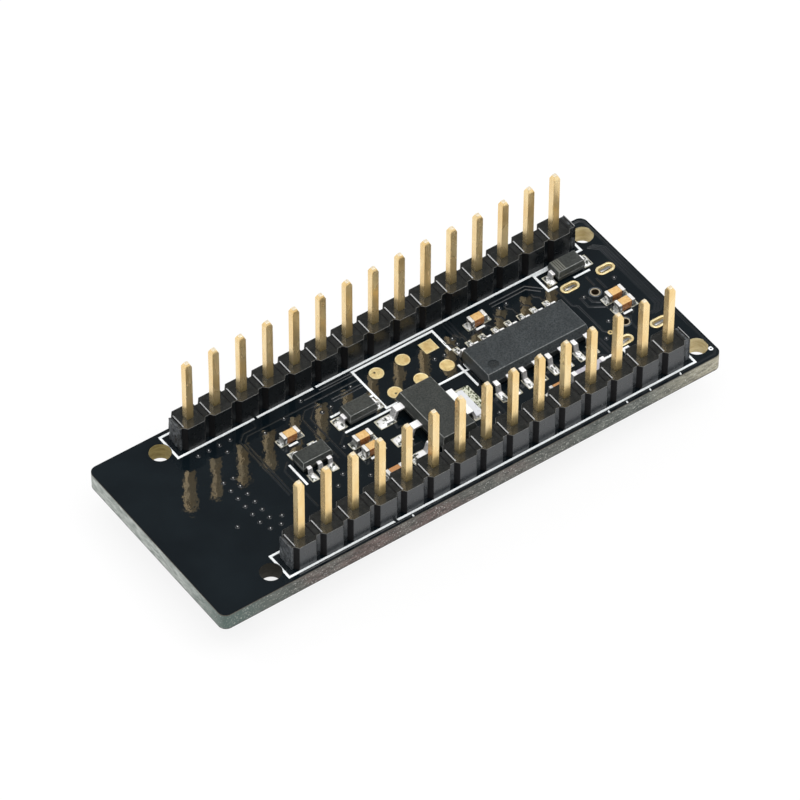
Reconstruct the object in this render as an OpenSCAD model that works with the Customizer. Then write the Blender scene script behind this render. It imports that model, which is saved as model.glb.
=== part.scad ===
// Microcontroller board with a radio, two pin headers and a micro USB socket.
// It is drawn pin side up, in millimetres. The origin is the middle of the four
// mounting holes, on the board's pin side. +X points to the USB end, +Z along the pins.

/* [Board] */
// Thickness of the board
board_t = 1.6; // [1.2:0.1:2]
// Radius of the board's corners
corner_r = 0.7; // [0.4:0.1:1.8]
// From each row of pins out to the long edge
side_margin = 1.78; // [1.6:0.02:3]
// From the mounting holes out to the USB end
usb_margin = 1.25; // [1.2:0.05:2]
// From the mounting holes out to the antenna end
antenna_margin = 5.65; // [5:0.05:12]

/* [Mounting holes] */
// Radius of a mounting hole
mount_r = 0.9; // [0.6:0.05:1.1]
// From the end of a header strip to the middle of a mounting hole
mount_gap = 1.6; // [1.4:0.05:3]
// How far the headers sit from the middle of the mounting holes
header_shift = -0.15; // [-0.3:0.05:0.3]

/* [Header strips] */
// Number of pins in a strip
pin_count = 15; // [15:1:20]
// Distance from pin to pin
pin_pitch = 2.54; // [2.5:0.01:2.7]
// Distance between the two rows of pins
row_spacing = 15.24; // [15:0.02:17.8]
// Height of the plastic strip
strip_h = 2.54; // [2:0.02:3]
// Width of the plastic strip
strip_w = 2.36; // [2.2:0.02:2.4]
// Length of the thin neck between two blocks of a strip
neck_l = 0.3; // [0.2:0.02:0.5]
// Width of the neck
neck_w = 1.5; // [1.2:0.05:1.7]
// Length along the strip of a block's sloping corners
block_corner_l = 0.34; // [0.2:0.02:0.5]
// How far the top of the neck lies below the blocks
neck_drop = 0.1; // [0.05:0.01:0.2]
// How far the lowered top of the neck reaches onto a block
neck_step = 0.05; // [0.02:0.01:0.1]
// Length of the slope from there up to the top of the block
neck_bevel = 0.17; // [0.1:0.01:0.2]
// How far the broken neck stands out at the USB end of a strip
strip_stub = 0.35; // [0.2:0.05:0.45]

/* [Header pins] */
// Side of the square pin
pin_w = 0.64; // [0.5:0.02:0.7]
// Length of a pin above its strip
pin_above = 6.1; // [3:0.1:12]
// Length of a pin's tail beyond the far side of the board
pin_tail = 1.4; // [1.2:0.1:2]
// Length of the taper at each end of a pin
pin_taper_l = 0.4; // [0.2:0.05:0.6]
// How much each side of a pin comes in at the taper
pin_taper_in = 0.17; // [0.05:0.01:0.2]
// Space between a pin's corners and the wall of its hole
pin_hole_gap = 0.05; // [0.03:0.01:0.1]
// Height of the solder on a pin's tail
solder_h = 0.85; // [0.4:0.05:1]
// Radius of the solder at the board
solder_r = 0.85; // [0.7:0.05:1]
// Radius of the solder at its top
solder_top_r = 0.5; // [0.48:0.01:0.6]

/* [Print] */
// Width of a printed line
print_w = 0.2; // [0.1:0.01:0.25]
// Thickness of the print
print_t = 0.03; // [0.02:0.01:0.06]
// Space between the side of a strip and the line round it
print_side_gap = 0.02; // [0.01:0.01:0.1]
// From the end of a strip to the middle of the line round it
print_end_gap = 0.6; // [0.4:0.05:0.8]
// Bare rim between a printed line and a hole
print_hole_gap = 0.04; // [0.02:0.01:0.1]
// Width of the two breaks in the line beside the far strip
print_break_w = 0.25; // [0.15:0.05:0.4]
// Length of the short line beside a capacitor
print_dash_l = 0.65; // [0.4:0.05:1]
// From the side of a capacitor to the short line beside it
print_dash_gap = 0.22; // [0.2:0.01:0.3]

/* [Programming pads] */
// Middle of the pads along the board
pads_x = 0.66; // [0.4:0.02:1]
// Middle of the pads across the board
pads_y = 3.48; // [3.3:0.02:3.6]
// Distance from pad to pad
pads_pitch = 2.54; // [2.4:0.02:2.6]
// Diameter of a round pad, and side of the square one
pad_d = 1.25; // [1:0.05:1.5]
// Thickness of the gilt copper
copper_t = 0.04; // [0.02:0.01:0.08]
// Margin between the pads and the printed line round them
pads_box_gap = 0.58; // [0.4:0.02:0.6]
// How much further that line lies out on the left
pads_box_more = 0.32; // [0:0.02:0.5]

/* [Serial chip] */
// Middle of the chip along the board
serial_x = 9.22; // [9:0.02:9.5]
// Middle of the chip across the board
serial_y = -0.12; // [-0.3:0.02:0.1]
// Length of the chip's body
serial_l = 9.9; // [9.6:0.05:10.1]
// Width of the chip's body
serial_w = 3.9; // [3.6:0.05:4.1]
// Thickness of the chip's body
serial_h = 1.42; // [1.2:0.02:1.6]
// Number of leads on each side
serial_leads = 8; // [4:1:8]
// Distance from lead to lead
serial_pitch = 1.27; // [1.2:0.01:1.29]
// Width of a lead
serial_lead_w = 0.42; // [0.3:0.02:0.5]
// Distance over the tips of opposite leads
serial_span = 6; // [5.8:0.05:6.4]
// Width of the bevel along the body's near edge
serial_bevel = 0.4; // [0.2:0.05:0.5]
// Diameter of the dimple that marks the first lead
dimple_d = 0.9; // [0.5:0.05:1]
// Depth of the dimple
dimple_depth = 0.06; // [0.03:0.01:0.1]
// From the corner of the body to the middle of the dimple, along each side
dimple_in = 1.15; // [1:0.05:1.3]

/* [Serial chip's resonator] */
// Middle of the resonator along the board
resonator_x = 11.79; // [11.6:0.02:12.4]
// Length of the resonator
resonator_l = 3.2; // [2.8:0.05:3.4]
// Width of the resonator
resonator_w = 1.3; // [1.1:0.02:1.4]
// Height of the resonator
resonator_h = 0.9; // [0.7:0.05:1.1]
// Width of each metal band
resonator_band = 0.4; // [0.2:0.05:0.6]
// Space between the resonator and the near strip
resonator_gap = 0.36; // [0.2:0.02:0.4]

/* [Main regulator] */
// Middle of the regulator along the board
main_reg_x = -0.99; // [-1.1:0.02:-0.8]
// Middle of the regulator across the board
main_reg_y = -2.24; // [-2.4:0.02:-2.1]
// Size of the body along the board
main_reg_l = 3.5; // [3.2:0.05:3.6]
// Size of the body across the board
main_reg_w = 6.5; // [6.2:0.05:6.6]
// Thickness of the body
main_reg_h = 1.6; // [1.4:0.05:1.8]
// How far the sides of the body lean in
main_reg_lean = 0.25; // [0.1:0.05:0.3]
// Distance from the tips of the leads to the end of the tab
main_reg_span = 7; // [6.8:0.05:7.2]
// Distance from lead to lead
main_reg_pitch = 2.3; // [2.2:0.05:2.4]
// Width of a lead
main_reg_lead_w = 0.7; // [0.5:0.05:0.8]
// Width of the tab
main_reg_tab_w = 3; // [2.8:0.05:3.2]

/* [Radio regulator] */
// Middle of the regulator along the board
radio_reg_x = -11.4; // [-11.6:0.05:-11]
// Middle of the regulator across the board
radio_reg_y = -0.03; // [-0.2:0.01:0.05]
// Size of the body along the board
radio_reg_l = 2.9; // [2.7:0.05:3.1]
// Size of the body across the board
radio_reg_w = 1.6; // [1.5:0.02:1.7]
// Thickness of the body
radio_reg_h = 1.05; // [0.9:0.05:1.3]
// Distance over the tips of opposite leads
radio_reg_span = 2.8; // [2.7:0.05:3]
// Distance from lead to lead
radio_reg_pitch = 0.95; // [0.9:0.01:1]
// Width of a lead
radio_reg_lead_w = 0.4; // [0.3:0.02:0.5]

/* [Diodes] */
// Length of a diode's body
diode_l = 2.7; // [2.5:0.05:2.9]
// Width of a diode's body
diode_w = 1.6; // [1.4:0.05:1.7]
// Thickness of a diode's body
diode_h = 1.05; // [0.9:0.05:1.3]
// Distance over the tips of a diode's leads
diode_span = 3.7; // [3.6:0.05:4]
// Width of a diode's leads
diode_lead_w = 0.6; // [0.4:0.05:0.9]
// Middle of the signal diode along the board
signal_diode_x = -5.6; // [-5.8:0.02:-5.5]
// Middle of the signal diode across the board
signal_diode_y = 1.95; // [1.8:0.02:2.1]
// From the board's USB end to the middle of the power diode
power_diode_in = 4.77; // [4.6:0.02:4.9]
// Space between the power diode and the far strip
power_diode_gap = 0.52; // [0.4:0.02:0.6]

/* [Capacitors] */
// Length of a capacitor
cap_l = 1.6; // [1.4:0.05:1.7]
// Width of a capacitor
cap_w = 0.8; // [0.7:0.02:0.9]
// Height of a capacitor
cap_h = 0.8; // [0.6:0.05:1]
// Length of each silver end
cap_end = 0.33; // [0.25:0.01:0.5]
// How far the ceramic lies inside the ends
cap_inset = 0.03; // [0.01:0.01:0.05]
// Distance between the two capacitors of a close pair
cap_pair = 1.3; // [1.2:0.05:1.35]
// From the board's USB end to the middle of the USB capacitors
usb_cap_in = 3.33; // [3.2:0.02:3.5]
// Middle of the main regulator's capacitors along the board
reg_cap_x = -7; // [-7.2:0.05:-6.8]
// Middle of the serial chip's capacitor along the board
serial_cap_x = 8.75; // [8.5:0.05:8.9]
// From the near strip to the capacitor beside the regulator
near_cap_gap = 0.97; // [0.6:0.01:1]
// From the near strip to the capacitor beside the serial chip
serial_cap_gap = 0.77; // [0.4:0.01:0.8]
// Space between the radio chip and the capacitors on the hidden side
rear_cap_gap = 1.2; // [0.8:0.1:1.6]
// Distance between those capacitors
rear_cap_pitch = 2.6; // [2.2:0.1:3]
// How far the capacitor at the microcontroller's corner lies past it
rear_cap_corner = 0.4; // [0.2:0.1:0.8]

/* [USB socket] */
// Width of the socket's metal shell
usb_w = 7.5; // [7.3:0.05:7.7]
// Height of the shell
usb_h = 2.6; // [2.4:0.05:2.8]
// How far the shell stands out past the board
usb_overhang = 0.7; // [0.5:0.05:1]
// From the board's USB end to the back of the shell
usb_depth = 6; // [5.9:0.05:6.1]
// Thickness of the sheet metal
usb_sheet = 0.25; // [0.2:0.05:0.3]
// Width of the shell's narrow side, against the board
usb_narrow_w = 5.4; // [5:0.1:6]
// Height at which the shell reaches its full width
usb_chamfer_h = 1.05; // [0.8:0.05:1.2]
// Middle of the socket across the board
usb_y = -0.12; // [-0.2:0.02:0.2]
// From the board's USB end to the front legs
usb_front_leg = 2.05; // [1.9:0.05:2.2]
// Distance from the front legs to the back legs
usb_leg_pitch = 3.55; // [3.4:0.05:3.6]
// Width of a leg
usb_leg_w = 1; // [0.7:0.05:1.1]
// Space round a leg in its slot
usb_leg_gap = 0.17; // [0.1:0.01:0.2]
// Width of the gilt rim round a slot
usb_rim = 0.2; // [0.14:0.02:0.3]
// Thickness of the gilt lining in a slot
usb_lining = 0.04; // [0.03:0.01:0.06]
// From the board's USB end to the locating pegs
usb_peg_in = 4.27; // [4.1:0.05:4.4]
// Distance between the two pegs
usb_peg_pitch = 4; // [3.8:0.05:4.2]
// Radius of a peg
usb_peg_r = 0.27; // [0.2:0.01:0.3]
// Space round a peg in its hole
usb_peg_gap = 0.05; // [0.03:0.01:0.08]
// Thickness of the tongue in the mouth
usb_tongue_t = 0.6; // [0.5:0.05:0.7]
// Width of the tongue
usb_tongue_w = 3.7; // [3.4:0.05:4]
// How far the tongue's tip lies behind the mouth
usb_tongue_back = 1.2; // [1:0.05:1.5]
// Thickness of the plastic block at the back of the socket
usb_back_wall = 2.3; // [2.2:0.1:2.6]
// How deep a peg reaches into the board
usb_peg_l = 1; // [0.6:0.1:1.2]
// Number of contacts
usb_contact_count = 5; // [1:1:5]
// Distance from contact to contact
usb_contact_pitch = 0.65; // [0.6:0.01:0.7]
// Width of a contact
usb_contact_w = 0.35; // [0.25:0.01:0.4]
// Thickness of a contact
usb_contact_t = 0.12; // [0.08:0.01:0.15]
// How far the contacts' tails reach out behind the shell
usb_tail = 0.9; // [0.6:0.05:1]
// Length of the flared lip round the mouth
usb_lip = 0.5; // [0.4:0.05:0.6]
// Angle of the flared lip
usb_lip_angle = 25; // [10:1:35]

/* [Microcontroller] */
// Middle of the microcontroller along the board
mcu_x = 4.6; // [4.4:0.05:5]
// Side of its square body
mcu_w = 7; // [6.8:0.05:7.2]
// Thickness of its body
mcu_h = 1; // [0.9:0.05:1.2]
// Distance over the tips of opposite leads
mcu_span = 9; // [8.8:0.05:9.2]
// Number of leads on a side
mcu_leads = 8; // [4:1:8]
// Distance from lead to lead
mcu_pitch = 0.8; // [0.7:0.01:0.82]
// Width of a lead
mcu_lead_w = 0.37; // [0.25:0.01:0.42]

/* [Radio chip] */
// Middle of the radio chip along the board
radio_x = -13.4; // [-13.6:0.05:-13.2]
// Side of its square body
radio_w = 4; // [3.8:0.05:4.2]
// Thickness of its body
radio_h = 0.8; // [0.7:0.05:0.9]
// Number of contact lands on a side
radio_lands = 5; // [3:1:6]
// Distance from land to land
radio_pitch = 0.5; // [0.45:0.01:0.6]
// Width of a land
radio_land_w = 0.25; // [0.2:0.01:0.3]
// Length of a land
radio_land_l = 0.45; // [0.3:0.05:0.5]
// Height of a land
radio_land_h = 0.2; // [0.15:0.01:0.25]

/* [Crystals] */
// Middle of the two crystals along the board
crystal_x = -8.3; // [-8.5:0.05:-8.2]
// Middle of each crystal from the board's centre line
crystal_y = 2.9; // [2.7:0.05:3.1]
// Length of a crystal
crystal_l = 3.2; // [3:0.05:3.3]
// Width of a crystal
crystal_w = 2.5; // [2.3:0.05:2.6]
// Height of the ceramic base
crystal_base_h = 0.55; // [0.4:0.05:0.7]
// Height of the metal lid
crystal_lid_h = 0.2; // [0.15:0.01:0.3]
// Rim of ceramic round the lid
crystal_rim = 0.2; // [0.1:0.02:0.3]

/* [Reset switch] */
// Middle of the switch along the board
switch_x = 12; // [11.8:0.05:12.1]
// Length of the housing
switch_l = 3.6; // [3.4:0.05:3.7]
// Width of the housing
switch_w = 3; // [2.8:0.05:3.2]
// Height of the housing
switch_h = 1.2; // [1.1:0.05:1.3]
// Thickness of the floor under the dome
switch_floor = 0.3; // [0.2:0.02:0.35]
// Radius of the well that the button's collar moves in
switch_well_r = 1.25; // [1.2:0.05:1.35]
// Thickness of the metal cover
switch_cover_t = 0.15; // [0.1:0.01:0.2]
// Depth of the cover's side flaps
switch_flap = 0.6; // [0.4:0.05:0.8]
// Radius of the button's stem
button_r = 0.75; // [0.6:0.02:0.8]
// How far the button stands out of the cover
button_out = 0.5; // [0.4:0.05:0.6]
// Travel of the button
button_travel = 0.25; // [0.15:0.01:0.3]
// Thickness of the button's collar
collar_t = 0.22; // [0.15:0.01:0.25]
// Running space round the button and its collar
button_gap = 0.08; // [0.05:0.01:0.1]
// Space left under the collar when the button is pressed
dome_gap = 0.05; // [0.03:0.01:0.06]
// Thickness of the spring dome
dome_t = 0.06; // [0.04:0.01:0.08]
// Width of a terminal
terminal_w = 0.7; // [0.5:0.05:0.8]
// How far a terminal reaches out of the housing
terminal_out = 0.5; // [0.3:0.05:0.6]
// Thickness of a terminal
terminal_t = 0.2; // [0.15:0.01:0.25]
// Distance from terminal to terminal on one side
terminal_pitch = 1.8; // [1.6:0.05:2]

/* [Lights and resistors] */
// Middle of the lights along the board
led_x = -2.2; // [-2.3:0.02:-2]
// Distance from light to light
led_pitch = 2.1; // [1.9:0.05:2.2]
// Number of lights
led_count = 4; // [1:1:4]
// Length of a light or a resistor
small_l = 1.6; // [1.4:0.05:1.7]
// Width of a light or a resistor
small_w = 0.8; // [0.7:0.02:0.9]
// Height of a light's base
led_base_h = 0.3; // [0.2:0.02:0.4]
// Height of a light's clear lens
led_lens_h = 0.35; // [0.3:0.02:0.5]
// Length of the clear lens
led_lens_l = 0.9; // [0.7:0.05:1.1]
// Height of a resistor
resistor_h = 0.45; // [0.35:0.02:0.55]
// Length of each metal end of a resistor
resistor_end = 0.3; // [0.2:0.02:0.4]
// Middle of the resistors along the board
resistor_x = -4.7; // [-4.9:0.05:-4.6]

/* [Antenna] */
// Width of the antenna's copper line
antenna_w = 0.7; // [0.4:0.05:0.9]
// Thickness of the copper line
antenna_t = 0.05; // [0.03:0.01:0.08]
// Margin between the copper line and the board's end
antenna_edge = 0.6; // [0.4:0.05:1]
// Number of folds in the line
antenna_folds = 5; // [3:1:6]
// Distance from fold to fold
antenna_fold_pitch = 2.4; // [2:0.05:2.5]
// Length of a fold
antenna_fold_l = 3.4; // [2.5:0.1:3.5]
// Length of the line that feeds the antenna, from its first fold
antenna_feed = 2.6; // [1.5:0.1:3]

/* [Hidden] */

// Number of sides that stand for a circle
$fn = 48;
// Distance by which a cut runs past the face it opens
over = 0.5;

// Places along the board that follow from the headers
strip_l = pin_count * pin_pitch;
row_y = row_spacing / 2;
mount_x = strip_l / 2 + mount_gap;
usb_end = mount_x + usb_margin;
antenna_end = -mount_x - antenna_margin;
board_side = row_y + side_margin;
strip_inner = row_y - strip_w / 2;
block_l = pin_pitch - neck_l;
groove_l = neck_l + 2 * neck_step;
pin_hole_r = pin_w / sqrt(2) + pin_hole_gap;
pin_bottom = -board_t - pin_tail;
pin_top = strip_h + pin_above;

// Places of the socket's legs, slots and pegs
usb_leg_x = [usb_end - usb_front_leg, usb_end - usb_front_leg - usb_leg_pitch];
usb_leg_y = usb_w / 2 - usb_sheet / 2;
slot_l = usb_leg_w + 2 * usb_leg_gap;
slot_w = usb_sheet + 2 * usb_leg_gap;
usb_peg_x = usb_end - usb_peg_in;
usb_back = usb_end - usb_depth;
usb_mouth = usb_end + usb_overhang;

// How far most moulded sides lean in, and how much deeper than wide a moulded bevel is
draft = 0.12;
bevel_slope = 1.2;
// Thickness of the leads, gap under a moulded body, and depth of a lead's root in it
lead_t = 0.2;
thin_lead_t = 0.15;
body_lift = 0.1;
root_in = 0.3;
// Where a lead bends down and meets the board, as shares of its reach
bend_share = 0.36;
knee_share = 0.52;
// Shape of the waist of the solder on a pin
waist_in = 0.08;
waist_share = 0.4;

// Middles of the capacitors on the pin side
radio_cap_at = [-11.51, 2.94];
filter_cap_at = [7.89, 4.64];
reg_cap_y = -0.58;
cap_at = [
    radio_cap_at,
    [reg_cap_x, reg_cap_y],
    [reg_cap_x, reg_cap_y - cap_pair],
    filter_cap_at,
    [usb_end - usb_cap_in, usb_y + cap_pair / 2],
    [usb_end - usb_cap_in, usb_y - cap_pair / 2],
    [reg_cap_x, -strip_inner + near_cap_gap + cap_w / 2],
    [serial_cap_x, -strip_inner + serial_cap_gap + cap_w / 2]
];
// Numbers, in the list above, of the capacitors with a printed dash
dashed_caps = [0, 2, 3, 5];

// Middles of the capacitors on the hidden side: beside the radio chip, between the crystals
// and at a corner of the microcontroller
radio_side = radio_x - radio_w / 2 - rear_cap_gap - cap_l / 2;
rear_cap_at = [
    [radio_side, -rear_cap_pitch],
    [radio_side, 0],
    [radio_side, rear_cap_pitch],
    [crystal_x, 0],
    [mcu_x + mcu_span / 2 + rear_cap_corner, -mcu_span / 2 - rear_cap_gap / 2 - cap_w / 2]
];

resonator_y = -strip_inner + resonator_gap + resonator_w / 2;
power_diode_at = [usb_end - power_diode_in, strip_inner - power_diode_gap - diode_w / 2];

// Printed lines, as start and end points counted from the middle of the part they go with.
// The box round the programming pads is open where the main regulator stands.
box_right = pads_pitch + pad_d / 2 + pads_box_gap;
box_left = -box_right - pads_box_more;
box_top = pads_pitch / 2 + pad_d / 2 + pads_box_gap;
pads_lines = [
    [[box_left, box_top], [box_right, box_top]],
    [[box_left, box_top], [box_left, 0.2 - box_top]],
    [[box_left, 0.2 - box_top], [-2.75, 0.2 - box_top]],
    [[box_right, box_top], [box_right, 0]],
    [[box_right, -2], [box_right, -0.13 - box_top]],
    [[0.85, -0.13 - box_top], [box_right, -0.13 - box_top]]
];
serial_side = -serial_l / 2 - 0.32;
serial_lines = [[[serial_side, 1.77], [serial_side, -0.78]]];
main_reg_top = main_reg_w / 2 - 0.08;
main_reg_lines = [[[-6.5, main_reg_top], [-2.3, main_reg_top]]];
radio_reg_side = -radio_reg_l / 2 - 0.3;
radio_reg_lines = [[[radio_reg_side, 0.6], [radio_reg_side, -1.72]]];
diode_top = diode_w / 2 + 0.2;
signal_diode_lines = [[[-1.9, diode_top], [-1.1, diode_top]], [[1.75, diode_top], [2, diode_top]]];
bracket_y = diode_w / 2 + 0.18;
power_diode_lines = [
    [[-2.5, bracket_y], [1.5, bracket_y]],
    [[-2.5, bracket_y], [-2.5, -bracket_y]],
    [[-2.5, -bracket_y], [-1.7, -bracket_y]],
    [[0.15, -bracket_y], [1.55, -bracket_y]]
];
resonator_top = resonator_w / 2 + 0.32;
resonator_lines = [
    [[2.1, resonator_top], [3.3, resonator_top]],
    [[3.85, resonator_top], [4.35, resonator_top]],
    [[3.85, resonator_top], [3.85, resonator_top - 0.5]]
];
// Where the line beside the far strip is broken, and how far a dash starts before its capacitor
print_breaks = [-12.45, -6.8];
print_dash_back = 0.42;

// Heights inside the reset switch, above the board
collar_top = switch_h - button_gap / 2;
collar_bottom = collar_top - collar_t;
dome_top = collar_bottom - button_travel - dome_gap;

// Stands things on the hidden side of the board, with heights counted from it
module hidden_side() {
    translate([0, 0, -board_t]) mirror([0, 0, 1]) children();
}

// Repeats a thing at the middle of every pin of a strip
module at_pins(side) {
    for (i = [0:pin_count - 1])
        translate([header_shift + (i - (pin_count - 1) / 2) * pin_pitch, side * row_y, 0])
            children();
}

// Repeats a thing along Y about the middle
module along_y(count, pitch) {
    for (i = [0:count - 1]) translate([0, (i - (count - 1) / 2) * pitch, 0]) children();
}

// Repeats a thing along X about the middle
module along_x(count, pitch) {
    for (i = [0:count - 1]) translate([(i - (count - 1) / 2) * pitch, 0, 0]) children();
}

// A slot with round ends, drawn flat, with its length along X
module stadium(l, w) {
    square([l - w, w], center = true);
    for (s = [-1, 1]) translate([s * (l - w) / 2, 0]) circle(d = w);
}

// A rectangle with round corners, drawn flat
module rounded(x0, y0, x1, y1, r) {
    translate([x0 + r, y0]) square([x1 - x0 - 2 * r, y1 - y0]);
    translate([x0, y0 + r]) square([x1 - x0, y1 - y0 - 2 * r]);
    for (x = [x0 + r, x1 - r], y = [y0 + r, y1 - r]) translate([x, y]) circle(r = r);
}

// A block centred over its place and standing on height z0
module block(l, w, h, z0 = 0) {
    translate([-l / 2, -w / 2, z0]) cube([l, w, h]);
}

// The side view of a moulded body: widest at its middle height
module moulded_profile(w, h, near_bevel, lean) {
    polygon([
        [-w / 2 + lean, 0], [w / 2 - lean, 0], [w / 2, h / 2], [w / 2 - lean, h],
        [-w / 2 + max(lean, near_bevel), h],
        [-w / 2, h - max(h / 2, near_bevel * bevel_slope)]
    ]);
}

// A moulded chip body with sloping sides, and a bevel along its -Y edge
module moulded_body(l, w, h, near_bevel = 0, lean = draft) {
    translate([0, 0, body_lift]) intersection() {
        rotate([90, 0, 90]) translate([0, 0, -l / 2]) linear_extrude(l)
            moulded_profile(w, h, near_bevel, lean);
        rotate([90, 0, 0]) translate([0, 0, -w / 2]) linear_extrude(w)
            moulded_profile(l, h, 0, lean);
    }
}

// The cut for the dimple in the top of a chip, counted from the chip's corner
module dimple() {
    translate([dimple_in, dimple_in, -dimple_depth])
        cylinder(d = dimple_d, h = dimple_depth + over);
}

// A bent lead that leaves a body of width w towards +X and ends at span / 2
module gull_lead(w, span, lead_w, root_h, t) {
    reach = (span - w) / 2;
    knee = w / 2 + reach * knee_share;
    bend = w / 2 + reach * bend_share;
    rotate([90, 0, 0]) translate([0, 0, -lead_w / 2]) linear_extrude(lead_w) polygon([
        [w / 2 - root_in, root_h + t / 2], [bend + t / 2, root_h + t / 2],
        [knee + t / 2, t], [span / 2, t], [span / 2, 0], [knee - t / 2, 0],
        [bend - t / 2, root_h - t / 2], [w / 2 - root_in, root_h - t / 2]
    ]);
}

// A printed line from one point to another, both in one row or column
module print_bar(x0, y0, x1, y1) {
    translate([min(x0, x1) - print_w / 2, min(y0, y1) - print_w / 2])
        square([abs(x1 - x0) + print_w, abs(y1 - y0) + print_w]);
}

// A printed box
module print_box(x0, y0, x1, y1) {
    print_bar(x0, y0, x1, y0);
    print_bar(x0, y1, x1, y1);
    print_bar(x0, y0, x0, y1);
    print_bar(x1, y0, x1, y1);
}

// The four mounting holes, drawn flat
module mount_holes(extra = 0) {
    for (x = [-mount_x, mount_x], y = [-row_y, row_y])
        translate([x, y]) circle(r = mount_r + extra);
}

// The slots for the socket's legs, drawn flat, wider by extra all round
module usb_slots(extra = 0) {
    for (x = usb_leg_x, s = [-1, 1])
        translate([x, usb_y + s * usb_leg_y]) stadium(slot_l + 2 * extra, slot_w + 2 * extra);
}

// The holes for the socket's pegs, drawn flat
module usb_peg_holes() {
    for (s = [-1, 1])
        translate([usb_peg_x, usb_y + s * usb_peg_pitch / 2]) circle(r = usb_peg_r + usb_peg_gap);
}

module circuit_board() {
    color([0.07, 0.08, 0.09]) translate([0, 0, -board_t]) linear_extrude(board_t) difference() {
        rounded(antenna_end, -board_side, usb_end, board_side, corner_r);
        mount_holes();
        for (side = [-1, 1]) at_pins(side) circle(r = pin_hole_r);
        usb_slots(usb_lining);
        usb_peg_holes();
    }
}

// Printed lines at the middle of a part, each from one point to another
module print_beside(at, lines) {
    translate(at) for (line = lines) print_bar(line[0][0], line[0][1], line[1][0], line[1][1]);
}

// The white lines on the pin side
module print_lines() {
    box_x = strip_l / 2 + print_end_gap;
    box_y = (strip_w + print_w) / 2 + print_side_gap;
    color([0.95, 0.96, 0.95]) linear_extrude(print_t) difference() {
        union() {
            for (side = [-1, 1]) translate([header_shift, side * row_y])
                print_box(-box_x, -box_y, box_x, box_y);
            print_beside([pads_x, pads_y], pads_lines);
            print_beside([serial_x, serial_y], serial_lines);
            print_beside([main_reg_x, main_reg_y], main_reg_lines);
            print_beside([radio_reg_x, radio_reg_y], radio_reg_lines);
            print_beside([signal_diode_x, signal_diode_y], signal_diode_lines);
            print_beside(power_diode_at, power_diode_lines);
            print_beside([resonator_x, resonator_y], resonator_lines);
            for (i = dashed_caps)
                translate(cap_at[i] - [print_dash_back, cap_w / 2 + print_dash_gap])
                    print_bar(0, 0, print_dash_l, 0);
        }
        mount_holes(print_hole_gap);
        for (x = print_breaks) translate([x, strip_inner])
            square([print_break_w, strip_w / 2], center = true);
    }
}

module programming_pads() {
    color([0.93, 0.78, 0.45]) linear_extrude(copper_t) {
        for (i = [-1, 0, 1], j = [-0.5, 0.5])
            translate([pads_x + i * pads_pitch, pads_y + j * pads_pitch])
                if (i == 1 && j == 0.5) square(pad_d, center = true);
                else circle(d = pad_d);
    }
}

// Gilt linings of the slots, with a rim on the pin side
module usb_slot_linings() {
    color([0.86, 0.7, 0.36]) {
        translate([0, 0, -board_t]) linear_extrude(board_t) difference() {
            usb_slots(usb_lining);
            usb_slots();
        }
        linear_extrude(copper_t) difference() {
            usb_slots(usb_rim);
            usb_slots();
        }
    }
}

// A straight run of the antenna's copper line, drawn flat
module copper_bar(x, y) {
    translate([-antenna_w / 2, -antenna_w / 2]) square([x + antenna_w, y + antenna_w]);
}

// The folded copper line of the antenna, on the hidden side
module antenna_line() {
    x0 = antenna_end + antenna_edge + antenna_w / 2;
    x1 = x0 + antenna_fold_l;
    y0 = -(antenna_folds - 1) / 2 * antenna_fold_pitch;
    color([0.13, 0.14, 0.15]) hidden_side() linear_extrude(antenna_t) {
        for (i = [0:antenna_folds - 1]) translate([x0, y0 + i * antenna_fold_pitch])
            copper_bar(antenna_fold_l, 0);
        for (i = [0:antenna_folds - 2])
            translate([i % 2 == 0 ? x0 : x1, y0 + i * antenna_fold_pitch])
                copper_bar(0, antenna_fold_pitch);
        translate([x1, y0]) copper_bar(antenna_feed, 0);
    }
}

// A plastic strip: eight-sided blocks joined by thin necks, with a square hole for each pin
module header_strip(side) {
    color([0.1, 0.1, 0.11]) difference() {
        linear_extrude(strip_h) {
            at_pins(side) polygon([
                [-block_l / 2, -neck_w / 2], [-block_l / 2 + block_corner_l, -strip_w / 2],
                [block_l / 2 - block_corner_l, -strip_w / 2], [block_l / 2, -neck_w / 2],
                [block_l / 2, neck_w / 2], [block_l / 2 - block_corner_l, strip_w / 2],
                [-block_l / 2 + block_corner_l, strip_w / 2], [-block_l / 2, neck_w / 2]
            ]);
            translate([header_shift - strip_l / 2, side * row_y - neck_w / 2])
                square([strip_l + strip_stub, neck_w]);
        }
        for (i = [0:pin_count])
            translate([header_shift + (i - pin_count / 2) * pin_pitch, side * row_y, 0])
                rotate([90, 0, 0]) translate([0, 0, -neck_w / 2]) linear_extrude(neck_w) polygon([
                    [-groove_l / 2, strip_h - neck_drop], [groove_l / 2, strip_h - neck_drop],
                    [groove_l / 2 + neck_bevel, strip_h], [groove_l / 2 + neck_bevel, strip_h + over],
                    [-groove_l / 2 - neck_bevel, strip_h + over], [-groove_l / 2 - neck_bevel, strip_h]
                ]);
        at_pins(side) block(pin_w, pin_w, strip_h + 2 * over, -over);
    }
}
module header_strip_near() header_strip(-1);
module header_strip_far() header_strip(1);

// The side view of one pin, tapered at both ends
module pin_profile() {
    polygon([
        [-pin_w / 2 + pin_taper_in, pin_bottom], [pin_w / 2 - pin_taper_in, pin_bottom],
        [pin_w / 2, pin_bottom + pin_taper_l], [pin_w / 2, pin_top - pin_taper_l],
        [pin_w / 2 - pin_taper_in, pin_top], [-pin_w / 2 + pin_taper_in, pin_top],
        [-pin_w / 2, pin_top - pin_taper_l], [-pin_w / 2, pin_bottom + pin_taper_l]
    ]);
}

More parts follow.
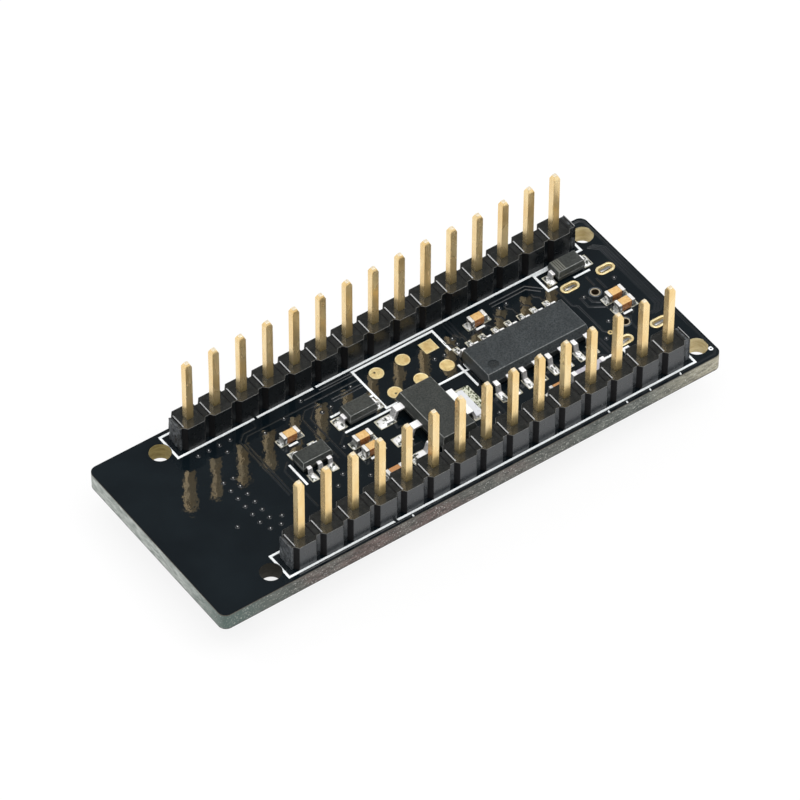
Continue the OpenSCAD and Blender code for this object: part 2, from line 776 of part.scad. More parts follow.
// A row of square pins
module header_pins(side) {
    color([0.86, 0.7, 0.42]) at_pins(side) intersection() {
        rotate([90, 0, 0]) translate([0, 0, -pin_w / 2]) linear_extrude(pin_w) pin_profile();
        rotate([90, 0, 90]) translate([0, 0, -pin_w / 2]) linear_extrude(pin_w) pin_profile();
    }
}
module header_pins_near() header_pins(-1);
module header_pins_far() header_pins(1);

// The solder round each pin's tail, a cone with a waist
module header_solder(side) {
    waist_r = (solder_r + solder_top_r) / 2 - waist_in;
    color([0.78, 0.79, 0.8]) hidden_side() at_pins(side) difference() {
        rotate_extrude() polygon([
            [0, 0], [solder_r, 0], [waist_r, solder_h * waist_share],
            [solder_top_r, solder_h], [0, solder_h]
        ]);
        block(pin_w, pin_w, solder_h + 2 * over, -over);
    }
}
module header_solder_near() header_solder(-1);
module header_solder_far() header_solder(1);

module serial_chip_leads() {
    root_h = body_lift + serial_h / 2;
    color([0.85, 0.86, 0.87]) translate([serial_x, serial_y, 0]) for (turn = [90, -90])
        rotate([0, 0, turn]) along_y(serial_leads, serial_pitch)
            gull_lead(serial_w, serial_span, serial_lead_w, root_h, lead_t);
}
module serial_chip_body() {
    color([0.22, 0.23, 0.24]) difference() {
        translate([serial_x, serial_y, 0]) difference() {
            moulded_body(serial_l, serial_w, serial_h, serial_bevel);
            translate([-serial_l / 2, -serial_w / 2, body_lift + serial_h]) dimple();
        }
        serial_chip_leads();
    }
}

// Ceramic body of the resonator, with three metal bands wrapped round it
module resonator_block() {
    in = 2 * cap_inset;
    block(resonator_l - in, resonator_w - in, resonator_h - in, cap_inset);
}
module resonator_body() {
    color([0.78, 0.77, 0.8]) translate([resonator_x, resonator_y, 0]) resonator_block();
}
module resonator_bands() {
    pitch = (resonator_l - resonator_band) / 2;
    color([0.86, 0.86, 0.87]) translate([resonator_x, resonator_y, 0]) difference() {
        along_x(3, pitch) block(resonator_band, resonator_w, resonator_h);
        resonator_block();
    }
}

// A lead of the main regulator, or its tab when it is wide
module main_regulator_lead(w) {
    gull_lead(main_reg_l, main_reg_span, w, body_lift + main_reg_h / 2, lead_t);
}
module main_regulator_leads() {
    color([0.85, 0.86, 0.87]) translate([main_reg_x, main_reg_y, 0]) rotate([0, 0, 180])
        along_y(3, main_reg_pitch) main_regulator_lead(main_reg_lead_w);
}
module main_regulator_tab() {
    color([0.87, 0.88, 0.89]) translate([main_reg_x, main_reg_y, 0])
        main_regulator_lead(main_reg_tab_w);
}
module main_regulator_body() {
    color([0.24, 0.25, 0.24]) difference() {
        translate([main_reg_x, main_reg_y, 0])
            moulded_body(main_reg_l, main_reg_w, main_reg_h, lean = main_reg_lean);
        main_regulator_leads();
        main_regulator_tab();
    }
}

module radio_regulator_lead() {
    root_h = body_lift + radio_reg_h / 2;
    gull_lead(radio_reg_w, radio_reg_span, radio_reg_lead_w, root_h, thin_lead_t);
}
module radio_regulator_leads() {
    color([0.85, 0.86, 0.87]) translate([radio_reg_x, radio_reg_y, 0]) {
        rotate([0, 0, -90]) along_y(3, radio_reg_pitch) radio_regulator_lead();
        rotate([0, 0, 90]) along_y(2, 2 * radio_reg_pitch) radio_regulator_lead();
    }
}
module radio_regulator_body() {
    color([0.22, 0.23, 0.24]) difference() {
        translate([radio_reg_x, radio_reg_y, 0]) moulded_body(radio_reg_l, radio_reg_w, radio_reg_h);
        radio_regulator_leads();
    }
}

// The two leads of a diode at its place
module diode_leads(at) {
    translate(at) for (turn = [0, 180]) rotate([0, 0, turn])
        gull_lead(diode_l, diode_span, diode_lead_w, body_lift + diode_h / 2, thin_lead_t);
}
module diode_body(at) {
    difference() {
        translate(at) moulded_body(diode_l, diode_w, diode_h);
        diode_leads(at);
    }
}
module signal_diode_leads() color([0.85, 0.86, 0.87]) diode_leads([signal_diode_x, signal_diode_y, 0]);
module signal_diode_body() color([0.24, 0.24, 0.25]) diode_body([signal_diode_x, signal_diode_y, 0]);
module power_diode_leads() color([0.85, 0.86, 0.87]) diode_leads(power_diode_at);
module power_diode_body() color([0.2, 0.21, 0.22]) diode_body(power_diode_at);

// The middle and the two ends of a small ceramic part
module chip_middle(l, w, h, end) {
    block(l - 2 * end, w - 2 * cap_inset, h - cap_inset);
}
module chip_ends(l, w, h, end) {
    along_x(2, l - end) block(end, w, h);
}
module capacitor_bodies() {
    color([0.8, 0.55, 0.28]) for (at = cap_at) translate(at)
        chip_middle(cap_l, cap_w, cap_h, cap_end);
}
module capacitor_ends() {
    color([0.88, 0.88, 0.88]) for (at = cap_at) translate(at)
        chip_ends(cap_l, cap_w, cap_h, cap_end);
}
module rear_capacitor_bodies() {
    color([0.8, 0.55, 0.28]) hidden_side() for (at = rear_cap_at) translate(at)
        chip_middle(cap_l, cap_w, cap_h, cap_end);
}
module rear_capacitor_ends() {
    color([0.88, 0.88, 0.88]) hidden_side() for (at = rear_cap_at) translate(at)
        chip_ends(cap_l, cap_w, cap_h, cap_end);
}

// The outline of the socket's shell seen from its mouth, smaller by inset all round
module usb_outline(inset = 0) {
    side = usb_w / 2 - inset;
    lean = atan2(usb_chamfer_h, (usb_w - usb_narrow_w) / 2);
    narrow = usb_narrow_w / 2 - inset * tan(lean / 2);
    chamfer_top = usb_chamfer_h + inset * tan(45 - lean / 2);
    polygon([
        [-narrow, inset], [narrow, inset], [side, chamfer_top],
        [side, usb_h - inset], [-side, usb_h - inset], [-side, chamfer_top]
    ]);
}
// A lip that leans out from an edge of the mouth, rooted in the sheet behind it
module usb_lip_plate(w) {
    rise = (usb_lip + usb_sheet) * tan(usb_lip_angle);
    translate([-usb_sheet, 0, -usb_sheet]) rotate([90, 0, 0]) translate([0, 0, -w / 2]) linear_extrude(w)
        polygon([
            [0, 0], [usb_lip + usb_sheet, rise], [usb_lip + usb_sheet, rise + usb_sheet], [0, usb_sheet]
        ]);
}
module usb_shell() {
    color([0.8, 0.81, 0.82]) hidden_side() translate([0, usb_y, 0]) {
        difference() {
            translate([usb_back, 0, 0]) rotate([90, 0, 90]) linear_extrude(usb_mouth - usb_back)
                usb_outline();
            translate([usb_back - over, 0, 0]) rotate([90, 0, 90])
                linear_extrude(usb_mouth - usb_back + 2 * over) usb_outline(usb_sheet);
            usb_pegs(usb_sheet + over);
        }
        // The legs, up through the board
        for (x = usb_leg_x, s = [-1, 1])
            translate([x, s * usb_leg_y, 0]) block(usb_leg_w, usb_sheet, usb_h / 2 + board_t, -board_t);
        // The lips round the mouth
        translate([usb_mouth, 0, usb_h]) usb_lip_plate(usb_narrow_w);
        for (s = [-1, 1]) translate([usb_mouth, s * usb_w / 2, (usb_h + usb_chamfer_h) / 2])
            rotate([-s * 90, 0, 0]) usb_lip_plate(usb_h - usb_chamfer_h - 2 * usb_sheet);
    }
}
// The two pegs, from inside the board up to a height above it
module usb_pegs(top) {
    for (s = [-1, 1]) translate([usb_peg_x, s * usb_peg_pitch / 2, -usb_peg_l])
        cylinder(r = usb_peg_r, h = usb_peg_l + top);
}
module usb_insulator() {
    color([0.12, 0.12, 0.13]) hidden_side() translate([0, usb_y, 0]) difference() {
        union() {
            translate([usb_back, 0, 0]) rotate([90, 0, 90]) linear_extrude(usb_back_wall)
                usb_outline(usb_sheet);
            translate([usb_back, -usb_tongue_w / 2, usb_h / 2])
                cube([usb_mouth - usb_tongue_back - usb_back, usb_tongue_w, usb_tongue_t]);
            usb_pegs(usb_sheet);
        }
        usb_contact_bars();
    }
}
// The five contacts, from the tongue down to the board behind the shell
module usb_contact_bars() {
    tongue_z = usb_h / 2;
    tip = usb_mouth - usb_tongue_back - usb_sheet;
    along_y(usb_contact_count, usb_contact_pitch) rotate([90, 0, 0]) translate([0, 0, -usb_contact_w / 2])
        linear_extrude(usb_contact_w) polygon([
            [tip, tongue_z], [tip, tongue_z + usb_contact_t],
            [usb_back - usb_contact_t, tongue_z + usb_contact_t],
            [usb_back - 2 * usb_contact_t, usb_contact_t], [usb_back - usb_tail, usb_contact_t],
            [usb_back - usb_tail, 0], [usb_back - usb_contact_t, 0], [usb_back, tongue_z]
        ]);
}
module usb_contacts() {
    color([0.87, 0.76, 0.45]) hidden_side() translate([0, usb_y, 0]) usb_contact_bars();
}

module microcontroller_leads() {
    color([0.85, 0.86, 0.87]) hidden_side() translate([mcu_x, 0, 0]) for (turn = [0:90:270])
        rotate([0, 0, turn]) along_y(mcu_leads, mcu_pitch)
            gull_lead(mcu_w, mcu_span, mcu_lead_w, body_lift + mcu_h / 2, thin_lead_t);
}
module microcontroller_body() {
    color([0.2, 0.21, 0.22]) difference() {
        hidden_side() translate([mcu_x, 0, 0]) difference() {
            moulded_body(mcu_w, mcu_w, mcu_h);
            translate([-mcu_w / 2, -mcu_w / 2, body_lift + mcu_h]) dimple();
        }
        microcontroller_leads();
    }
}

// The contact lands let into the edge of the radio chip
module radio_land_blocks() {
    for (turn = [0:90:270]) rotate([0, 0, turn]) along_y(radio_lands, radio_pitch)
        translate([radio_w / 2 - radio_land_l / 2, 0, 0]) block(radio_land_l, radio_land_w, radio_land_h);
}
module radio_chip_lands() {
    color([0.85, 0.86, 0.87]) hidden_side() translate([radio_x, 0, 0]) radio_land_blocks();
}
module radio_chip_body() {
    color([0.2, 0.21, 0.22]) hidden_side() translate([radio_x, 0, 0]) difference() {
        block(radio_w, radio_w, radio_h);
        radio_land_blocks();
        translate([-radio_w / 2 + dimple_d, -radio_w / 2 + dimple_d, radio_h - dimple_depth])
            cylinder(d = dimple_d / 2, h = dimple_depth + over);
    }
}

module crystal_bases() {
    color([0.75, 0.66, 0.45]) hidden_side() translate([crystal_x, 0, 0]) along_y(2, 2 * crystal_y)
        block(crystal_l, crystal_w, crystal_base_h);
}
module crystal_lids() {
    color([0.8, 0.8, 0.82]) hidden_side() translate([crystal_x, 0, 0]) along_y(2, 2 * crystal_y)
        block(crystal_l - 2 * crystal_rim, crystal_w - 2 * crystal_rim, crystal_lid_h, crystal_base_h);
}

module switch_housing() {
    color([0.16, 0.16, 0.17]) hidden_side() translate([switch_x, 0, 0]) difference() {
        block(switch_l, switch_w, switch_h);
        translate([0, 0, switch_floor]) cylinder(r = switch_well_r, h = switch_h);
        switch_terminal_bars();
    }
}
// Four flat terminals let into the housing's ends
module switch_terminal_bars() {
    for (turn = [0, 180]) rotate([0, 0, turn]) along_y(2, terminal_pitch)
        translate([switch_l / 2 - root_in, -terminal_w / 2, 0])
            cube([root_in + terminal_out, terminal_w, terminal_t]);
}
module switch_terminals() {
    color([0.85, 0.86, 0.87]) hidden_side() translate([switch_x, 0, 0]) switch_terminal_bars();
}
// The spring dome under the button
module switch_dome() {
    rim_r = switch_well_r - button_gap;
    crown_r = rim_r / 2;
    color([0.8, 0.81, 0.82]) hidden_side() translate([switch_x, 0, 0]) rotate_extrude() polygon([
        [rim_r - dome_t, switch_floor], [rim_r, switch_floor],
        [crown_r + dome_t, dome_top], [0, dome_top], [0, dome_top - dome_t], [crown_r, dome_top - dome_t]
    ]);
}
module switch_cover() {
    color([0.82, 0.83, 0.84]) hidden_side() translate([switch_x, 0, 0]) difference() {
        union() {
            block(switch_l, switch_w, switch_cover_t, switch_h);
            for (s = [-1, 1]) translate([0, s * (switch_w + switch_cover_t) / 2, 0])
                block(switch_l / 2, switch_cover_t, switch_flap + switch_cover_t, switch_h - switch_flap);
        }
        translate([0, 0, switch_h - over])
            cylinder(r = button_r + button_gap, h = 2 * over + switch_cover_t);
    }
}
module reset_button() {
    button_top = switch_h + switch_cover_t + button_out;
    color([0.9, 0.89, 0.85]) hidden_side() translate([switch_x, 0, collar_bottom]) {
        cylinder(r = switch_well_r - button_gap, h = collar_t);
        cylinder(r = button_r, h = button_top - collar_bottom);
    }
}

// A column of lights, each a base with a clear lens on it
module led_bases() {
    color([0.9, 0.9, 0.88]) hidden_side() translate([led_x, 0, 0]) along_y(led_count, led_pitch)
        block(small_l, small_w, led_base_h);
}
module led_lenses() {
    color([0.85, 0.9, 0.8]) hidden_side() translate([led_x, 0, 0]) along_y(led_count, led_pitch)
        block(led_lens_l, small_w - 2 * cap_inset, led_lens_h, led_base_h);
}
module resistor_bodies() {
    color([0.1, 0.1, 0.11]) hidden_side() translate([resistor_x, 0, 0]) along_y(led_count, led_pitch)
        chip_middle(small_l, small_w, resistor_h, resistor_end);
}
module resistor_ends() {
    color([0.88, 0.88, 0.88]) hidden_side() translate([resistor_x, 0, 0]) along_y(led_count, led_pitch)
        chip_ends(small_l, small_w, resistor_h, resistor_end);
}

circuit_board();
print_lines();
programming_pads();
usb_slot_linings();
antenna_line();
header_strip_near();
header_strip_far();
header_pins_near();
header_pins_far();
header_solder_near();
header_solder_far();
serial_chip_body();
serial_chip_leads();
resonator_body();
resonator_bands();
main_regulator_body();
main_regulator_leads();
main_regulator_tab();
radio_regulator_body();
radio_regulator_leads();
signal_diode_body();
signal_diode_leads();
power_diode_body();
power_diode_leads();
capacitor_bodies();
capacitor_ends();
usb_shell();
usb_insulator();
usb_contacts();
microcontroller_body();
microcontroller_leads();
radio_chip_body();
radio_chip_lands();
crystal_bases();
crystal_lids();
switch_housing();
switch_terminals();
switch_dome();
switch_cover();
reset_button();
led_bases();
led_lenses();
resistor_bodies();
resistor_ends();
rear_capacitor_bodies();
rear_capacitor_ends();
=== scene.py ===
"""The looks of a small microcontroller board, pin side up: coating, print, gilt, solder, moulded parts."""

import math

import bmesh
import bpy
from mathutils import Matrix, Vector, noise


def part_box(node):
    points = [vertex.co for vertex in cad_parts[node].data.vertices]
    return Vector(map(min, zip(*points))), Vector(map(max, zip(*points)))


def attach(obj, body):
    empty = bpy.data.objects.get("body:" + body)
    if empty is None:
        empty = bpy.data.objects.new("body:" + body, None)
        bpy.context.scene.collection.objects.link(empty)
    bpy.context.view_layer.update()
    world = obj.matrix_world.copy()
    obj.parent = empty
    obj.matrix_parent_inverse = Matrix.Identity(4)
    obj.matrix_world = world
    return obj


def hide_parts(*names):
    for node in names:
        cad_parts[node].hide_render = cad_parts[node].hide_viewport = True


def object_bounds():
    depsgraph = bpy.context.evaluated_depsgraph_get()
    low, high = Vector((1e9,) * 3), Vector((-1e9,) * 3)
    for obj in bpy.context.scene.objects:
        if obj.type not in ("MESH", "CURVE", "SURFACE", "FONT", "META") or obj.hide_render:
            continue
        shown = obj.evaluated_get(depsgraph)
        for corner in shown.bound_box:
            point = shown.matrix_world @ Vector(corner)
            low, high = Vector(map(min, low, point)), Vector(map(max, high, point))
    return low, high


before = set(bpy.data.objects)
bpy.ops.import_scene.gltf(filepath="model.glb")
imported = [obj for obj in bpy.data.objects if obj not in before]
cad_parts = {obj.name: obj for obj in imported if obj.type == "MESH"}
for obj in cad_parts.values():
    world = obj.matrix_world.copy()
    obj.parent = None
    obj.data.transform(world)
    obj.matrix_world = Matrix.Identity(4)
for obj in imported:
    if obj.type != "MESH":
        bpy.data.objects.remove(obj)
cad_low, cad_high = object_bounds()

MM = 0.001
BODY = "board"

# The board's two faces, and the headers' pitch and places, in millimetres
PIN_FACE = 0.0
HIDDEN_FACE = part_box("circuit_board")[0].z / MM
PIN_PITCH = 2.54
PIN_COUNT = 15
HEADER_SHIFT = -0.15
ROW_Y = 7.62
STRIP_H = 2.54
NECK_W = 1.5

# Middles of the two holes for the socket's pegs, and how far round one its wall may lie
PEG_X = 17.63
PEG_YS = (-2.12, 1.88)
PEG_ZONE = 0.7

# Everything drilled lies nearer the middle than this, in millimetres
HOLE_ZONE_X = 21.7
HOLE_ZONE_Y = 9.0

# Thickness of a bare pad, its rim round the solder, and how far it reaches under a part
PAD_T = 0.03
PAD_RIM = 0.035
PAD_UNDER = 0.45
# Height of the dark spot, painted shade, that stands for a hole in a gilt pad
PAD_HOLE_H = 0.043
# The square pad is the one that lies beyond this place
SQUARE_PAD = (2.0, 4.0)
# Widths of the gilt rims round a programming pad and a slot, and depth of a strip's ragged end
PAD_EDGE = 0.08
SLOT_RIM = 0.22
ROUGH_END = 0.1
# Turns between two faces from which their edge is drawn sharp, and from which it is rounded
SHARP_TURN = math.radians(38)
ROUND_TURN = math.radians(25)
# The strips' grooves turn less than this, and keep crisp edges
GROOVE_TURN = math.radians(35)
CRISP_TURN = math.radians(15)
# A moulded body's straight edges are longer than this, and the facets of its dimple are shorter
STRAIGHT = 0.2
# How far down from a strip's top its groove's slope is polished
SHINE_DROP = 0.045
# Small white ticks along the near edge, in print ink: their places, reach, width and height
TICK_XS = (-8.3, 10.7, 12.5, 14.8, 17.8)
TICK_YS = (-9.12, -9.35)
TICK_W = 0.14
TICK_H = 0.03
# The nick in the near edge's printed line: its place, reach and width, and the dot near a corner
NICK_X = -9.75
NICK_YS = (-8.8, -9.12)
NICK_W = 0.3
DOT_PLACE = (21.42, -8.45)
# How deep the floor of a chip's dimple lies, at least and at most
DIMPLE_DROP = (0.03, 0.2)
# Beyond this place towards the near edge a ceramic takes its other tint
NEAR_Y = -4.5
# Pitches of the leads of the serial chip, the two regulators and the microcontroller
SERIAL_PITCH = 1.27
MAIN_PITCH = 2.3
RADIO_PITCH = 0.95
MCU_PITCH = 0.8
# Least height of solder, and height of its surface and its foot in the slots
SKIN_H = 0.015
SLOT_FILL_H = -0.3
SLOT_FOOT_H = -0.8
# The dull solder beyond the main regulator's tab: ends from the body's middle, half width, height
FLUX_XS = (3.5, 4.2)
FLUX_HALF = 1.72
FLUX_H = 0.12
# The one bare ring, the two programming pads' holes, and the rings' profiles of (radius, height)
BARE_VIA = (15.95, -2.4)
PAD_HOLES = ((-2.0, 4.87), (-1.9, 2.07))
VIA_RING = ((0.07, 0.0), (0.1, 0.025), (0.15, 0.035), (0.19, 0.02), (0.22, 0.0))
BARE_RING = ((0.1, 0.0), (0.12, 0.03), (0.2, 0.03), (0.23, 0.0))
PEG_MOAT = ((0.45, 0.0), (0.48, 0.03), (0.52, 0.03), (0.56, 0.0))
PEG_LIP = ((0.32, 0.0), (0.34, 0.03), (0.4, 0.035), (0.44, 0.0))
PRINT_DOT = ((0.08, 0.0), (0.1, 0.03), (0.2, 0.03), (0.22, 0.0))
# A slot rim's profile of (distance from the outer edge, height)
SLOT_CREST = ((-SLOT_RIM, 0.0), (-0.2, 0.05), (-0.13, 0.085), (-0.06, 0.08), (-0.015, 0.055), (0.0, 0.0))
# Spacing, width and side margin of the power diode's stripes
STRIPE_STEP = 0.2
STRIPE_W = 0.07
STRIPE_MARGIN = 0.17
# Width and height of the hidden side's printed lines, and the ends and inset of those by the pins
INK_W = 0.18
INK_H = 0.025
INK_XS = (-19.0, 14.0)
INK_INSET = 1.35
# Width, height and edge slope of a coated copper line
TRACE_W = 0.2
TRACE_H = 0.032
TRACE_SLOPE = 0.075

# The camera's turn, tilt and roll in degrees, its place in metres, and its lens in millimetres
CAMERA_ANGLES = (35.6696, 47.1235, 0.2146)
CAMERA_PLACE = (-0.196686, -0.269872, 0.359535)
CAMERA_LENS = 279.3
# How far the lamps stand off and the floor reaches, in metres, and how much of the floor glows
LAMP_DISTANCE = 0.5
FLOOR_REACH = 3.0
FLOOR_GLOW = 0.85
WHITE = (1.0, 1.0, 1.0, 1.0)
# Between which heights the backdrop's dimmer band sets in and ends: 0 is the horizon, 1 overhead
BAND_START = (0.12, 0.3)
BAND_END = (0.82, 0.95)
# The corners of a square round its middle
SQUARE = ((-1, -1), (1, -1), (1, 1), (-1, 1))

# The material slots of the board's faces and of a strip's faces
BOARD_FLAT, BOARD_END, BOARD_SIDE, BOARD_HOLE, BOARD_PEG = range(5)
STRIP_SIDE, STRIP_TOP, STRIP_SHINE, STRIP_MATT, STRIP_EDGE = range(5)


# Materials


class Shader:
    """A shader tree with short ways to add to it."""

    def __init__(self, owner):
        owner.use_nodes = True
        self.tree = owner.node_tree

    def feed(self, inputs, values):
        """Gives inputs their values: each is a socket to link, or a number or numbers."""
        for key, value in values.items():
            if isinstance(value, bpy.types.NodeSocket):
                self.tree.links.new(value, inputs[key])
            else:
                inputs[key].default_value = value

    def node(self, kind, values, operation=None):
        """Adds a node of a kind and gives its inputs their values."""
        node = self.tree.nodes.new("ShaderNode" + kind)
        if operation:
            node.operation = operation
        self.feed(node.inputs, values)
        return node

    def combine(self, operation, first, second):
        """Arithmetic on two factors, each a socket or a number."""
        return self.node("Math", {0: first, 1: second}, operation).outputs["Value"]

    def times(self, first, second):
        return self.combine("MULTIPLY", first, second)

    def spread(self, fac, low, high, start=0.35, end=0.65, smooth=False):
        """Maps a factor's range from start to end onto low..high, evenly or in a smooth step."""
        values = {"Value": fac, "From Min": start, "From Max": end, "To Min": low, "To Max": high}
        node = self.node("MapRange", values)
        if smooth:
            node.interpolation_type = "SMOOTHSTEP"
        return node.outputs["Result"]

    def seen(self):
        """A factor of 1 for rays that the camera or a glossy surface sends out, else 0."""
        rays = self.node("LightPath", {}).outputs
        seen = self.combine("MAXIMUM", rays["Is Camera Ray"], rays["Is Glossy Ray"])
        return self.combine("MAXIMUM", seen, rays["Is Transmission Ray"])


class Finish(Shader):
    """A material with short ways to vary its colour, gloss and relief."""

    def __init__(self, name, color, roughness, metallic=0.0, ior=1.5):
        self.material = bpy.data.materials.new(name)
        super().__init__(self.material)
        self.skin = self.tree.nodes["Principled BSDF"].inputs
        look = {"Base Color": (*color, 1.0), "Roughness": roughness, "Metallic": metallic, "IOR": ior}
        self.feed(self.skin, look)
        self.place = self.node("TexCoord", {}).outputs["Object"]
        self.relief = None

    def noise(self, size, detail=3.0, stretch=(1.0, 1.0, 1.0), rough=0.5):
        """Noise with features of about size millimetres, longer along an axis by stretch."""
        scale = [1 / (size * MM * s) for s in stretch]
        place = self.node("Mapping", {"Vector": self.place, "Scale": scale}).outputs["Vector"]
        values = {"Vector": place, "Scale": 1.0, "Detail": detail, "Roughness": rough}
        return self.node("TexNoise", values).outputs["Fac"]

    def along(self, axis, start, end):
        """A factor that grows from 0 to 1 between two places, in millimetres, on an axis."""
        parts = self.node("SeparateXYZ", {"Vector": self.place}).outputs
        return self.spread(parts[axis], 0.0, 1.0, start * MM, end * MM)

    def steepness(self, steep=0.6, gentle=0.88):
        """A factor from 1 on steep faces to 0 on gentle ones, by how far the normal points up."""
        normal = self.node("TexCoord", {}).outputs["Normal"]
        parts = self.node("SeparateXYZ", {"Vector": normal}).outputs
        return self.spread(self.combine("ABSOLUTE", parts["Z"], 0.0), 1.0, 0.0, steep, gentle)

    def color(self, fac, *stops):
        """Colours the surface by a factor: each stop is (position, colour)."""
        ramp = self.node("ValToRGB", {"Fac": fac})
        marks = ramp.color_ramp.elements
        while len(marks) < len(stops):
            marks.new(0.5)
        for mark, (position, value) in zip(marks, stops):
            mark.position = position
            mark.color = (*value, 1.0)
        return ramp.outputs["Color"]

    def mix(self, fac, *colors):
        """Mixes two colours, each a socket or three numbers."""
        node = self.node("Mix", {"Factor": fac})
        node.data_type = "RGBA"
        first, second = ((*color, 1.0) if isinstance(color, tuple) else color for color in colors)
        self.feed(node.inputs, {6: first, 7: second})
        return node.outputs[2]

    def paint(self, color):
        self.feed(self.skin, {"Base Color": color})

    def gloss(self, roughness):
        self.feed(self.skin, {"Roughness": roughness})

    def bump(self, fac, depth):
        """Raises the surface by a factor times depth millimetres, on top of earlier relief."""
        values = {"Strength": 1.0, "Distance": depth * MM, "Height": fac}
        if self.relief:
            values["Normal"] = self.relief
        self.relief = self.node("Bump", values).outputs["Normal"]
        self.feed(self.skin, {"Normal": self.relief})


def make_coating(name, deep, pale):
    """The glossy black coating, slightly wavy, a shade paler where copper lies under it."""
    finish = Finish(name, deep, 0.05, ior=1.5)
    cloud = finish.noise(5.0)
    finish.paint(finish.color(cloud, (0.4, deep), (0.62, pale)))
    finish.gloss(finish.spread(finish.noise(1.3, 5.0), 0.025, 0.07))
    finish.bump(finish.noise(0.42, 2.0), 0.008)
    finish.bump(finish.noise(2.2, 1.0), 0.03)
    return finish.material


def make_glass_epoxy(name, dark, pale, warm_dark, warm_pale):
    """The sawn edge of the board: glass layers with specks, in shades that change along it."""
    finish = Finish(name, pale, 0.6)
    layers = finish.noise(0.22, 5.0, (4.0, 4.0, 1.0), 0.65)
    ground = finish.color(layers, (0.38, dark), (0.62, pale))
    tint = finish.color(layers, (0.38, warm_dark), (0.62, warm_pale))
    stain = finish.spread(finish.noise(5.0, 3.0), 0.2, 1.0, 0.4, 0.56)
    warm = finish.times(stain, finish.along("X", 8.0, -2.0))
    warm = finish.times(warm, finish.along("X", -25.0, -17.0))
    body = finish.mix(warm, ground, tint)
    golden = finish.color(layers, (0.36, (0.22, 0.2, 0.145)), (0.62, (0.55, 0.51, 0.375)))
    body = finish.mix(finish.along("X", 14.0, 23.0), body, golden)
    corner = finish.times(finish.along("X", -18.0, -26.0), finish.along("Y", -4.0, -9.4))
    body = finish.mix(corner, body, (0.075, 0.115, 0.1))
    specks = finish.spread(finish.noise(0.12, 3.0), 0.0, 0.9, 0.6, 0.7)
    body = finish.mix(specks, body, (0.56, 0.56, 0.52))
    pits = finish.spread(finish.noise(0.3, 4.0), 0.0, 0.6, 0.62, 0.72)
    body = finish.mix(pits, body, (0.06, 0.055, 0.045))
    rim = finish.along("Z", -0.14, -0.05)
    body = finish.mix(rim, body, (0.08, 0.07, 0.05))
    foot = finish.along("Z", HIDDEN_FACE + 0.12, HIDDEN_FACE + 0.04)
    finish.paint(finish.mix(foot, body, (0.03, 0.026, 0.022)))
    finish.bump(finish.noise(0.14, 3.0), 0.03)
    return finish.material


def make_hole_wall():
    """The drilled wall of a bare hole, paler towards the right, and painted near black at the near left
    corner as shade.
    """
    finish = Finish("drilled_epoxy", (0.6, 0.52, 0.28), 0.75)
    grain = finish.noise(0.3, 3.0, (3.0, 3.0, 1.0))
    pale = finish.color(grain, (0.35, (0.58, 0.48, 0.25)), (0.65, (0.8, 0.71, 0.48)))
    deep = finish.color(grain, (0.35, (0.29, 0.225, 0.08)), (0.65, (0.52, 0.43, 0.19)))
    painted_shade = finish.color(grain, (0.35, (0.01, 0.009, 0.004)), (0.65, (0.026, 0.022, 0.011)))
    # Painted shade: the walls at the near left corner are painted near black
    near = finish.times(finish.along("X", -14.0, -19.0), finish.along("Y", 2.0, -6.0))
    body = finish.mix(finish.along("X", -14.0, 14.0), deep, pale)
    finish.paint(finish.mix(near, body, painted_shade))
    finish.bump(grain, 0.02)
    return finish.material


def make_clouded(
    name, dark, pale, size, detail, stops, roughness, gloss=None, depth=None, ior=1.5, clear=0.0
):
    """A plain surface clouded from dark to pale, with uneven gloss and relief where they are given."""
    finish = Finish(name, pale, roughness, ior=ior)
    finish.feed(finish.skin, {"Transmission Weight": clear})
    cloud = finish.noise(size, detail)
    finish.paint(finish.color(cloud, (stops[0], dark), (stops[1], pale)))
    if gloss:
        finish.gloss(finish.spread(cloud, *gloss))
    if depth:
        finish.bump(cloud, depth)
    return finish.material


def make_gilt(name, pale, deep, roughness):
    """Gilt copper: warm, nearly matt metal with soft patches."""
    finish = Finish(name, pale, roughness, metallic=0.25)
    patches = finish.noise(0.7, 5.0, rough=0.6)
    finish.paint(finish.color(patches, (0.38, deep), (0.62, pale)))
    finish.gloss(finish.spread(finish.noise(0.5, 2.0), roughness * 0.8, roughness * 1.2))
    finish.bump(finish.noise(0.9, 2.0), 0.008)
    return finish.material


def make_pin_gilt():
    """Drawn and gilt square wire: fine lines along it, painted darker near the plastic as shade, and paler
    and duller at the cut tip.
    """
    finish = Finish("pin_gilt", (0.95, 0.72, 0.36), 0.32, metallic=0.7)
    lines = finish.noise(0.12, 2.0, (1.0, 1.0, 30.0))
    patches = finish.noise(1.1, 2.0, (1.0, 1.0, 2.5))
    body = finish.color(patches, (0.36, (0.9, 0.64, 0.28)), (0.62, (1.0, 0.79, 0.43)))
    body = finish.mix(finish.spread(lines, 0.0, 0.3), body, (0.78, 0.52, 0.22))
    # Painted shade: the wire is painted darker towards the plastic
    body = finish.mix(finish.along("Z", 4.3, 2.5), body, (0.34, 0.26, 0.115))
    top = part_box("header_pins_near")[1].z / MM
    tip = finish.along("Z", top - 0.1, top - 0.02)
    finish.paint(finish.mix(tip, body, (1.0, 0.88, 0.66)))
    polish = finish.spread(patches, 0.2, 0.32)
    finish.gloss(finish.combine("MAXIMUM", polish, finish.times(tip, 0.6)))
    return finish.material


